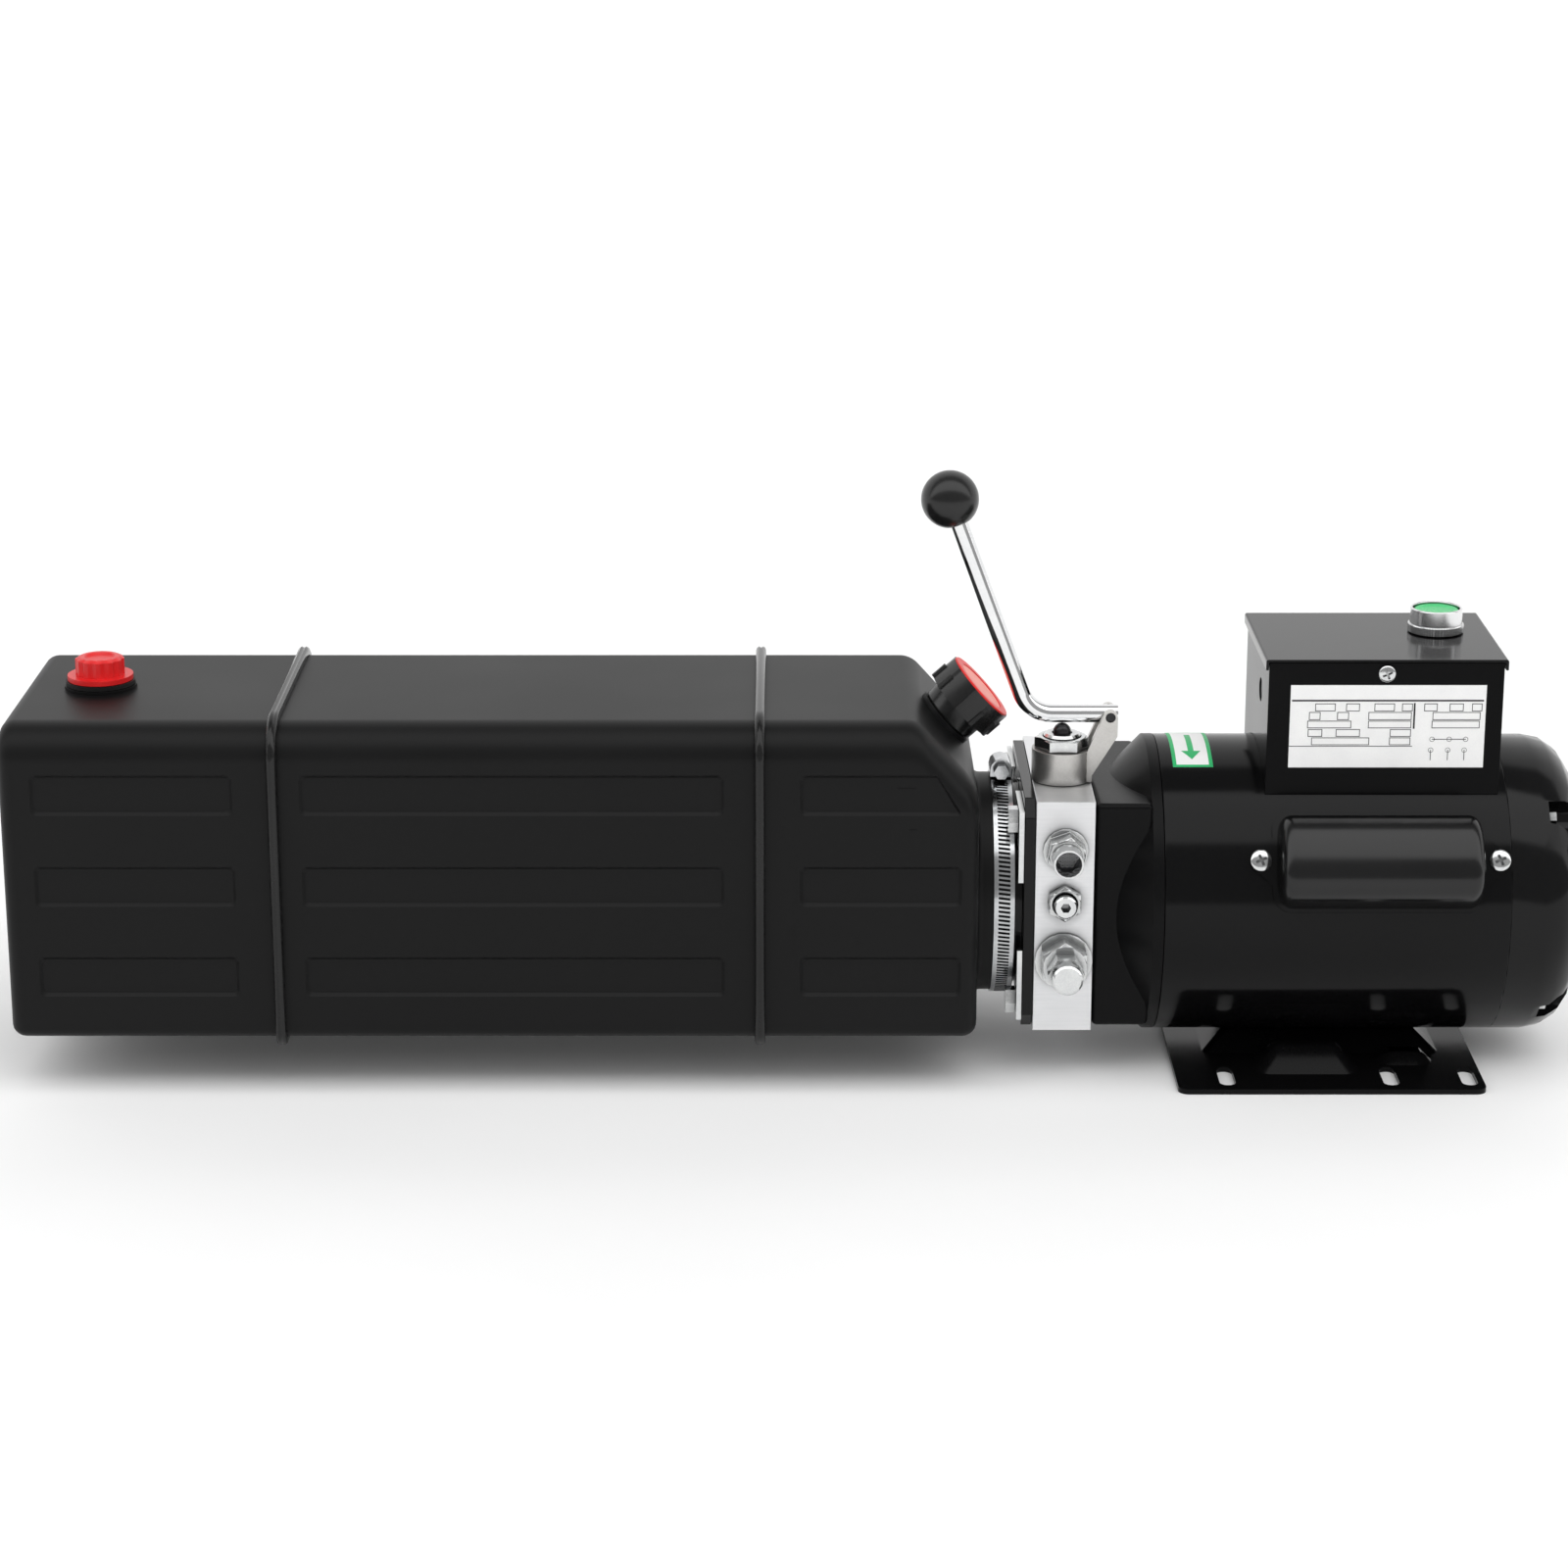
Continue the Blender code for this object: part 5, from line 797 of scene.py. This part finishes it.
# Top disc of the filler cap: a bright rim and a paler sunk face.
discLook = {
    "place": tankLook["fillerPlace"], "lean": 47.88, "base": 26.6, "face": 28.2, "radius": 21.0,
    "ease": 0.5, "faceRadius": 15.6, "sink": 0.6, "sides": 96,
}


def makeDisc(look):
    place, turn = Vector(look["place"]) * mm, (0.0, math.radians(look["lean"]))
    top, ease, inner = look["face"], look["ease"], look["faceRadius"]
    low = top - look["sink"]
    rim = [(inner, look["base"]), (look["radius"], look["base"])]
    rim += roundedCorner((look["radius"] - ease, top - ease), ease, 0, 90, 4)
    rim += [(inner + ease + 0.3, top), (inner + 0.1, top - 0.15), (inner, low), (inner, look["base"])]
    mesh = turnedMesh(inMm(rim), look["sides"], place, turn)
    seal(mesh)
    made = addPiece("fillerDiscRim", mesh, pieceFinishes["discRed"], "filler_lid")
    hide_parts("filler_cap_disc")
    face = [(0.0, look["base"]), (inner, look["base"]), (inner, low), (0.6 * inner, low + 0.12),
            (0.0, low + 0.15)]
    mesh = turnedMesh(inMm(face), look["sides"], place, turn)
    made = addPiece("fillerDiscFace", mesh, pieceFinishes["discPale"], "filler_lid")


makeDisc(discLook)

# Cranked lever, and the ball knob on its end.
leverLook = {
    "pivot": (-122.0, -20.0, 102.8), "tail": 4.5, "corner": 44.0, "lean": 20.5, "arm": 128.1,
    "bend": 18.0, "radius": 5.0, "knob": 15.7, "knobFlat": 7.6, "sides": 40, "bendSteps": 20,
}


def makeLever(look):
    pivot = Vector(look["pivot"]) * mm
    lean = math.radians(look["lean"])
    corner = pivot + Vector((-look["corner"] * mm, 0.0, 0.0))
    rise = Vector((-math.sin(lean), 0.0, math.cos(lean)))
    knobMiddle = corner + look["arm"] * mm * rise
    turn = math.pi / 2 - lean
    run = look["bend"] * mm * math.tan(turn / 2)
    bendStart = corner + Vector((run, 0.0, 0.0))
    centre = bendStart + Vector((0.0, 0.0, look["bend"] * mm))
    path = [pivot + Vector((look["tail"] * mm, 0.0, 0.0)), pivot]
    for step in range(look["bendSteps"] + 1):
        angle = turn * step / look["bendSteps"]
        path.append(centre + look["bend"] * mm * Vector((-math.sin(angle), 0.0, -math.cos(angle))))
    path.append(knobMiddle - 2.0 * mm * rise)
    mesh = sweptMesh(path, look["radius"] * mm, look["sides"])
    made = addPiece("chromeLever", mesh, finishes["chrome"], "lever_arm")
    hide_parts("lever")
    radius, flat = look["knob"] * mm, look["knobFlat"] * mm
    low = -math.degrees(math.acos(flat / radius))
    profile = [(0.0, radius * math.sin(math.radians(low)))]
    profile += roundedCorner((0.0, 0.0), radius, low, 89.0, 30) + [(0.0, radius)]
    mesh = turnedMesh(profile, 64, knobMiddle, (0.0, -lean))
    made = addPiece("ballKnob", mesh, finishes["black_plastic"], "lever_arm")
    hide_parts("lever_knob")


makeLever(leverLook)

# Slotted clamp band round the tank neck.
bandLook = {
    "start": -185.8 * mm, "width": 11.2 * mm, "radius": 61.3 * mm, "thickness": 0.9 * mm, "slots": 156,
    "slotLength": 6.4 * mm, "slotShare": 0.54, "slant": 0.012,
}


def makeBand(look):
    mesh = bmesh.new()
    edge = (look["width"] - look["slotLength"]) / 2
    columns = [0.0, edge, edge + look["slotLength"], look["width"]]
    slants = [0.0, -look["slant"] / 2, look["slant"] / 2, 0.0]
    pitch = 2 * math.pi / look["slots"]
    loops = []
    for number in range(look["slots"]):
        for share in (0.0, look["slotShare"]):
            loop = []
            for column, slant in zip(columns, slants):
                angle = (number + share) * pitch + slant
                rim = (look["radius"] * math.cos(angle), look["radius"] * math.sin(angle))
                loop.append(mesh.verts.new(shaft + Vector((look["start"] + column, *rim))))
            loops.append(loop)
    for number, loop in enumerate(loops):
        after = loops[(number + 1) % len(loops)]
        for column in range(3):
            if number % 2 == 0 and column == 1:
                continue
            mesh.faces.new((loop[column], loop[column + 1], after[column + 1], after[column]))
    made = addPiece("clampBand", mesh, pieceFinishes["bandSteel"], "frame")
    thick = made.modifiers.new("thick", "SOLIDIFY")
    thick.thickness = look["thickness"]
    thick.offset = 1.0
    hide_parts("clamp_band")


makeBand(bandLook)

# Cross recess screws of the lid and the capacitor cover.
lidScrewLook = {
    "radius": 4.8 * mm, "height": 2.6 * mm, "rim": 0.7 * mm, "crossLength": 5.6 * mm,
    "crossWidth": 1.2 * mm, "crossDepth": 1.6 * mm, "crossTurn": 0.4, "sides": 48,
}
coverScrewLook = {
    "radius": 5.9 * mm, "height": 2.6 * mm, "rim": 0.8 * mm, "crossLength": 6.2 * mm,
    "crossWidth": 1.5 * mm, "crossDepth": 1.7 * mm, "crossTurn": 0.4, "sides": 48,
}


def crossBar(length, width, low, high):
    mesh = bmesh.new()
    bmesh.ops.create_cube(mesh, size=1.0)
    bmesh.ops.scale(mesh, vec=(length, width, high - low), verts=mesh.verts)
    shift(mesh, (0.0, 0.0, (high + low) / 2))
    return mesh


def makeScrew(name, node, middle, outward, look):
    spin = Vector((0.0, 0.0, 1.0)).rotation_difference(outward).to_matrix().to_4x4()
    place = Matrix.Translation(middle) @ spin
    rise = look["height"] - look["rim"]
    profile = [(0.0, 0.0), (look["radius"], 0.0), (look["radius"], look["rim"])]
    for step in range(1, 10):
        angle = math.pi / 2 * step / 10
        profile.append((look["radius"] * math.cos(angle), look["rim"] + rise * math.sin(angle)))
    profile.append((0.0, look["height"]))
    mesh = turnedMesh(profile, look["sides"], (0, 0, 0))
    shift(mesh, -shaft)
    bars = []
    floor, above = look["height"] - look["crossDepth"], look["height"] * 1.5
    for turn in (look["crossTurn"], look["crossTurn"] + math.pi / 2):
        bar = crossBar(look["crossLength"], look["crossWidth"], floor, above)
        bmesh.ops.transform(bar, matrix=Matrix.Rotation(turn, 4, "Z"), verts=bar.verts)
        bars.append(bar)
    mesh = carved(mesh, bars, "DIFFERENCE")
    bmesh.ops.transform(mesh, matrix=place, verts=mesh.verts)
    made = addPiece(name, mesh, finishes["zinc"], "frame", 24.0)
    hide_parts(node)


coverAngle = math.radians(coverLook["angle"])
coverOut = Vector((0.0, -math.cos(coverAngle), math.sin(coverAngle)))
for name, node, outward, look in (("lidScrewHead", "lid_screw", Vector((0.0, -1.0, 0.0)), lidScrewLook),
                                  ("coverScrewLeft", "cover_screw_left", coverOut, coverScrewLook),
                                  ("coverScrewRight", "cover_screw_right", coverOut, coverScrewLook)):
    corners = [Vector(vert.co) for vert in frame["nodes"][node].data.vertices]
    reach = max(corner.dot(outward) for corner in corners)
    low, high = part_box(node)
    middle = (low + high) / 2
    top = middle + outward * (reach - middle.dot(outward))
    makeScrew(name, node, top - outward * look["height"], outward, look)
print("shell, lever, clamp and screws made")

# Start button: knurled chromed bezel and the green cap in it.
buttonLook = {
    "place": (59.6, 9.3, 141.5), "flange": 15.4, "flangeTop": 5.3, "body": 14.4, "top": 14.2,
    "bore": 12.8, "shoulder": 5.0, "guide": 7.8, "neck": 11.0, "neckEnd": -12.0, "teeth": 64,
    "toothDepth": 0.45, "capRadius": 12.2, "capFloor": 9.3, "capTop": 13.0, "capDish": 0.9,
    "stem": 7.5, "stemEnd": -12.3,
}


def makeButton(look):
    place = Vector(look["place"]) * mm
    flange, flangeTop, body, top = look["flange"], look["flangeTop"], look["body"], look["top"]
    profile = [(look["guide"], look["neckEnd"]), (look["neck"], look["neckEnd"]), (look["neck"], 0.35),
               (flange - 0.6, 0.35), (flange, 0.8), (flange, flangeTop - 0.5), (flange - 0.5, flangeTop),
               (body, flangeTop + 0.2), (body, top - 0.6)]
    profile += roundedCorner((body - 0.8, top - 0.8), 0.8, 15, 165, 8)
    profile += [(look["bore"], top - 1.0), (look["bore"], look["shoulder"]),
                (look["guide"], look["shoulder"]), (look["guide"], look["neckEnd"])]

    def tooth(step, height):
        inTeeth = 0.7 * mm < height < (flangeTop - 0.4) * mm
        return -look["toothDepth"] * mm if inTeeth and step % 2 else 0.0

    mesh = turnedMesh(inMm(profile), look["teeth"] * 2, place, wave=tooth)
    seal(mesh)
    made = addPiece("buttonBezel", mesh, pieceFinishes["satinChrome"], "frame", 25.0)
    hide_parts("button_bezel")
    radius, top, dish = look["capRadius"], look["capTop"], look["capDish"]
    profile = [(0.0, look["stemEnd"]), (look["stem"], look["stemEnd"]), (look["stem"], look["capFloor"]),
               (radius, look["capFloor"]), (radius, top - 1.0)]
    profile += roundedCorner((radius - 0.9, top - 0.9), 0.9, 10, 100, 6)
    profile += [(radius - 2.2, top - 0.25)]
    for share in (0.75, 0.5, 0.25):
        profile.append((radius * share, top - dish + (dish - 0.3) * share * share))
    profile.append((0.0, top - dish))
    mesh = turnedMesh(inMm(profile), 64, place)
    made = addPiece("greenCap", mesh, finishes["green_plastic"], "button", 40.0)
    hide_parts("start_button")


makeButton(buttonLook)

# Threaded stem of the release valve, above its lock nut.
stemLook = {
    "place": (-147.75, -20.0, 65.5), "radius": 10.4, "top": 26.5, "pitch": 1.5, "thread": 0.8,
    "chamfer": 1.4, "bore": 5.6, "foot": -38.0, "footRadius": 8.0, "seat": 0.3, "threadStart": 17.9,
    "sides": 64,
}


def makeStem(look):
    radius, top = look["radius"], look["top"]
    profile = [(look["bore"], look["foot"]), (look["footRadius"], look["foot"]),
               (look["footRadius"], look["seat"]), (radius, look["seat"])]
    height = look["threadStart"]
    while height + look["pitch"] < top - look["chamfer"]:
        profile += [(radius - look["thread"], height), (radius, height + look["pitch"] / 2)]
        height += look["pitch"]
    profile += [(radius - look["thread"], height), (radius - 0.2, top - look["chamfer"]),
                (radius - look["chamfer"], top), (look["bore"], top), (look["bore"], look["foot"])]
    mesh = turnedMesh(inMm(profile), look["sides"], Vector(look["place"]) * mm)
    seal(mesh)
    made = addPiece("threadedStem", mesh, finishes["zinc"], "frame", 25.0)
    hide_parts("release_valve_body")


makeStem(stemLook)

# Drilled insert deep in the outlet bore.
insertLook = {
    "place": (-147.75, -65.5, 38.3), "depth": 13.0, "radius": 7.0, "reach": 26.0, "ring": 1.05,
    "hole": 0.75, "pitch": 2.5, "rowShare": 0.866, "edge": 1.4, "thickness": 2.0, "sides": 48,
    "lift": 0.5, "holeFloor": 0.05, "rows": 2, "ringSteps": 16,
}


def makeInsert(look):
    front = Vector(look["place"]) * mm - Vector((0.0, (look["reach"] - look["depth"]) * mm, 0.0))
    profile = inMm(rod(look["radius"], 0.0, look["thickness"]))
    mesh = turnedMesh(profile, look["sides"], front, (-math.pi / 2, 0.0))
    addPiece("outletInsert", mesh, finishes["black_oxide"], "frame")
    rings = bmesh.new()
    ring, hole, lift, steps = look["ring"], look["hole"], look["lift"], look["ringSteps"]
    spots = range(-look["rows"], look["rows"] + 1)
    for row, column in ((row, column) for row in spots for column in spots):
        x = (column + 0.5 * (row % 2)) * look["pitch"]
        z = row * look["pitch"] * look["rowShare"]
        if math.hypot(x, z) > look["radius"] - look["edge"]:
            continue
        loops = []
        for radius, rise in ((ring, 0.0), (ring, lift), (hole, lift), (hole, look["holeFloor"])):
            loop = []
            for step in range(steps):
                angle = 2 * math.pi * step / steps
                spot = Vector((x + radius * math.cos(angle), -rise, z + radius * math.sin(angle))) * mm
                loop.append(rings.verts.new(shaft + front + spot))
            loops.append(loop)
        for first, second in zip(loops, loops[1:]):
            bridge(rings, first, second)
    addPiece("outletHoles", rings, pieceFinishes["portSteel"], "frame")


makeInsert(insertLook)
print("button, stem and outlet insert made")


# Flat bars on a plane, used for the plate's print and the tank's moulded lines.
def addBar(mesh, x0, z0, x1, z1, y, depth):
    low, high = (min(x0, x1), min(z0, z1)), (max(x0, x1), max(z0, z1))
    corners = [(x, side, z) for side in (y, y - depth) for x, z in
               ((low[0], low[1]), (high[0], low[1]), (high[0], high[1]), (low[0], high[1]))]
    verts = [mesh.verts.new(shaft + Vector(corner) * mm) for corner in corners]
    for order in ((0, 1, 2, 3), (4, 5, 6, 7), (0, 1, 5, 4), (1, 2, 6, 5), (2, 3, 7, 6), (3, 0, 4, 7)):
        mesh.faces.new([verts[spot] for spot in order])


# Blank rating plate on the terminal box: empty boxes and a plain diagram, no words.
plateLook = {
    "x0": -27.0, "x1": 78.7, "z0": 80.9, "z1": 127.1, "face": -50.5, "thickness": 0.35, "print": 0.05,
    "thin": 0.40, "thick": 0.95, "ring": 1.4, "hole": 1.15, "ringSteps": 24,
}
# Rows of empty boxes: top and bottom of the row, then left and right of each box.
plateRows = (
    (116.7, 112.7, ((-13.3, -2.7), (3.4, 10.4), (18.7, 29.3), (33.6, 39.0), (45.6, 52.4), (59.3, 66.5),
                    (71.4, 76.6))),
    (111.9, 107.8, ((-16.5, -10.7), (-1.3, 4.7), (15.6, 38.6), (50.3, 75.8))),
    (107.0, 103.2, ((-17.3, 6.1), (15.6, 38.6), (50.0, 75.6))),
    (102.3, 98.4, ((-16.8, -9.4), (-1.7, 11.0), (27.6, 38.6))),
    (97.6, 93.7, ((-14.8, 16.2), (27.4, 38.5))),
)
plateRules = ((-25.7, 118.5, 77.0, 118.5, "thick"), (40.2, 116.7, 40.2, 103.2, "thick"),
              (-26.7, 92.9, 39.6, 92.9, "thin"), (50.4, 96.8, 68.6, 96.8, "thin"),
              (49.9, 90.7, 49.9, 85.2, "thin"), (59.2, 90.7, 59.2, 85.2, "thin"),
              (68.1, 90.7, 68.1, 85.2, "thin"))
plateRings = ((50.4, 96.8), (59.7, 96.8), (68.6, 96.8), (49.9, 90.7), (59.2, 90.7), (68.1, 90.7))
whitePlate = finish("plateWhite", {
    "dark": (0.80, 0.80, 0.80), "light": (0.87, 0.87, 0.86), "rough": (0.35, 0.45), "shine": 0.35,
    "patch": 60.0, "grain": 1400.0, "bump": 0.03, "depth": 0.0001,
})
plateInk = finish("plateInk", {
    "dark": (0.010, 0.010, 0.012), "light": (0.030, 0.030, 0.032), "rough": (0.45, 0.55), "shine": 0.3,
    "patch": 200.0, "grain": 2500.0, "bump": 0.03, "depth": 0.0001,
})


def makePlate(look):
    mesh = bmesh.new()
    addBar(mesh, look["x0"], look["z0"], look["x1"], look["z1"], look["face"], look["thickness"])
    addPiece("ratingPlate", mesh, whitePlate, "frame")
    ink = bmesh.new()
    front = look["face"] - look["thickness"]

    def rule(x0, z0, x1, z1, weight):
        half = look[weight] / 2
        low, high = (min(x0, x1) - half, min(z0, z1) - half), (max(x0, x1) + half, max(z0, z1) + half)
        addBar(ink, *low, *high, front, look["print"])

    for top, bottom, boxes in plateRows:
        for left, right in boxes:
            for line in ((left, top, right, top), (left, bottom, right, bottom), (left, top, left, bottom),
                         (right, top, right, bottom)):
                rule(*line, "thin")
    for line in plateRules:
        rule(*line)
    for x, z in plateRings:
        loops = []
        for radius in (look["ring"], look["hole"]):
            loop = []
            for step in range(look["ringSteps"]):
                angle = 2 * math.pi * step / look["ringSteps"]
                spot = (x + radius * math.cos(angle), front - look["print"], z + radius * math.sin(angle))
                loop.append(ink.verts.new(shaft + Vector(spot) * mm))
            loops.append(loop)
        bridge(ink, *loops)
    addPiece("plateLines", ink, plateInk, "frame")


makePlate(plateLook)

# Green arrow sticker that shows which way the shaft turns.
stickerLook = {
    "x0": -87.5, "x1": -65.5, "start": 66.5, "end": 104.0, "border": 2.1, "lift": 0.12, "tip": 71.4,
    "headStart": 77.5, "headHalf": 5.4, "shaftHalf": 1.6, "tail": 96.0, "radius": shellRadius,
    "printLift": 0.06, "headSteps": 8,
}
stickerGreen = finish("stickerGreen", {
    "dark": (0.004, 0.36, 0.10), "light": (0.008, 0.46, 0.14), "rough": (0.35, 0.45), "shine": 0.4,
    "patch": 80.0, "grain": 1500.0, "bump": 0.02, "depth": 0.0001,
})


def makeSticker(look):
    def onShell(x, angle, lift):
        radius = look["radius"] + lift
        turn = math.radians(angle)
        return shaft + Vector((x, -radius * math.cos(turn), radius * math.sin(turn))) * mm

    def strip(mesh, lift, edges):
        last = None
        for angle, x0, x1 in edges:
            pair = (mesh.verts.new(onShell(x0, angle, lift)), mesh.verts.new(onShell(x1, angle, lift)))
            if last:
                mesh.faces.new((last[0], last[1], pair[1], pair[0]))
            last = pair

    def even(start, end, x0, x1, steps=24):
        return [(start + (end - start) * step / steps, x0, x1) for step in range(steps + 1)]

    middle = (look["x0"] + look["x1"]) / 2
    rim = math.degrees(look["border"] / look["radius"])
    ground = bmesh.new()
    strip(ground, look["lift"], even(look["start"], look["end"], look["x0"], look["x1"]))
    addPiece("arrowSticker", ground, whitePlate, "frame", 60.0)
    marks = bmesh.new()
    high = look["lift"] + look["printLift"]
    strip(marks, high, even(look["start"], look["end"], look["x0"], look["x0"] + look["border"]))
    strip(marks, high, even(look["start"], look["end"], look["x1"] - look["border"], look["x1"]))
    inside = (look["x0"] + look["border"], look["x1"] - look["border"])
    strip(marks, high, even(look["start"], look["start"] + rim, *inside, 4))
    strip(marks, high, even(look["end"] - rim, look["end"], *inside, 4))
    shaftEdges = (middle - look["shaftHalf"], middle + look["shaftHalf"])
    strip(marks, high, even(look["headStart"], look["tail"], *shaftEdges))
    head = []
    for step in range(look["headSteps"] + 1):
        share = step / look["headSteps"]
        half = max(look["headHalf"] * share, 0.02)
        head.append((look["tip"] + (look["headStart"] - look["tip"]) * share, middle - half, middle + half))
    strip(marks, high, head)
    addPiece("stickerArrow", marks, stickerGreen, "frame", 60.0)


makeSticker(stickerLook)

# Moulded level lines on the front of the tank, without their words.
levelLook = {
    "face": -86.0, "rise": 0.5, "seat": 0.2, "inPanel": ((-240.0, 78.8, -230.0, 79.2),),
    "onFace": ((-233.0, 56.1, -229.0, 56.5), (-295.4, -14.8, -295.0, 2.0), (-261.2, -8.0, -260.8, -4.0)),
}


def makeLevels(look):
    mesh = bmesh.new()
    for where, sunk in (("onFace", 0.0), ("inPanel", panelLook["depth"])):
        for line in look[where]:
            addBar(mesh, *line, look["face"] + sunk + look["seat"], look["rise"])
    made = addPiece("levelLines", mesh, finishes["tank_plastic"], "frame")


makeLevels(levelLook)
print("plate, sticker and level lines made")

# Camera where the photo was taken from.
cameraLook = {
    "place": (-0.00725, -2.08639, 0.77911), "pitch": 73.3, "lens": 90.0, "sensor": 36.0,
}
cameraData = bpy.data.cameras.new("camera")
cameraData.lens = cameraLook["lens"]
cameraData.sensor_width = cameraLook["sensor"]
camera = bpy.data.objects.new("camera", cameraData)
camera.location = cameraLook["place"]
camera.rotation_euler = (math.radians(cameraLook["pitch"]), 0.0, 0.0)
bpy.context.scene.collection.objects.link(camera)
bpy.context.scene.camera = camera

# Pale floor that keeps the shadow.
floorLook = {
    "size": 60.0, "tone": (0.90, 0.90, 0.90), "light": (0.93, 0.93, 0.93), "rough": 0.9, "patch": 3.0,
}


def makeFloor(look):
    mesh = bmesh.new()
    half = look["size"] / 2
    corners = ((-half, -half), (half, -half), (half, half), (-half, half))
    mesh.faces.new([mesh.verts.new((x, y, 0.0)) for x, y in corners])
    data = bpy.data.meshes.new("floor")
    mesh.to_mesh(data)
    mesh.free()
    floor = bpy.data.objects.new("floor", data)
    bpy.context.scene.collection.objects.link(floor)
    material = bpy.data.materials.new("paleFloor")
    material.use_nodes = True
    tree = material.node_tree
    shader = next(node for node in tree.nodes if node.type == "BSDF_PRINCIPLED")
    shader.inputs["Roughness"].default_value = look["rough"]
    shader.inputs["Specular IOR Level"].default_value = 0.0
    tone = ramped(tree, noiseField(tree, look["patch"]), look["tone"], look["light"])
    link(tree, tone, shader.inputs["Base Color"])
    data.materials.append(material)


makeFloor(floorLook)

# Studio: a bright soft panel overhead, white behind, a dimmer room in front, a gap between panel and wall.
# Heights run from the front horizon over the top to the back, 0 to 1.
studioLook = {
    "stops": ((0.0, 0.35), (0.245, 0.35), (0.268, 1.75), (0.49, 1.85), (0.512, 0.25), (0.63, 0.25),
              (0.67, 1.0)),
    "fillStrength": 0.9, "fillTurn": (52.0, 0.0, 14.0), "fillSpread": 50.0,
}


def makeStudio(look):
    scene = bpy.context.scene
    world = bpy.data.worlds.new("studio")
    scene.world = world
    world.use_nodes = True
    tree = world.node_tree
    back = next(node for node in tree.nodes if node.type == "BACKGROUND")
    back.inputs["Strength"].default_value = 1.0
    place = tree.nodes.new("ShaderNodeTexCoord")
    axes = tree.nodes.new("ShaderNodeSeparateXYZ")
    link(tree, place.outputs["Generated"], axes.inputs["Vector"])
    front = tree.nodes.new("ShaderNodeMath")
    front.operation = "MULTIPLY"
    front.inputs[1].default_value = -1.0
    link(tree, axes.outputs["Y"], front.inputs[0])
    height = tree.nodes.new("ShaderNodeMath")
    height.operation = "ABSOLUTE"  # below the horizon as above it, so no band shows past the floor's edge
    link(tree, axes.outputs["Z"], height.inputs[0])
    angle = tree.nodes.new("ShaderNodeMath")
    angle.operation = "ARCTAN2"
    link(tree, height.outputs["Value"], angle.inputs[0])
    link(tree, front.outputs["Value"], angle.inputs[1])
    share = spread(tree, angle.outputs["Value"], 0.0, 1.0, 0.0, math.pi)
    ramp = tree.nodes.new("ShaderNodeValToRGB")
    while len(ramp.color_ramp.elements) < len(look["stops"]):
        ramp.color_ramp.elements.new(0.5)
    for element, (spot, level) in zip(ramp.color_ramp.elements, look["stops"]):
        element.position = spot
        element.color = (level, level, level, 1.0)
    link(tree, share, ramp.inputs["Fac"])
    link(tree, ramp.outputs["Color"], back.inputs["Color"])
    lamp = bpy.data.lights.new("frontFill", "SUN")
    lamp.energy = look["fillStrength"]
    lamp.angle = math.radians(look["fillSpread"])
    fill = bpy.data.objects.new("frontFill", lamp)
    fill.rotation_euler = [math.radians(turn) for turn in look["fillTurn"]]
    fill.visible_glossy = False
    scene.collection.objects.link(fill)
    scene.view_settings.view_transform = "Standard"


makeStudio(studioLook)
print("camera, floor and studio made")
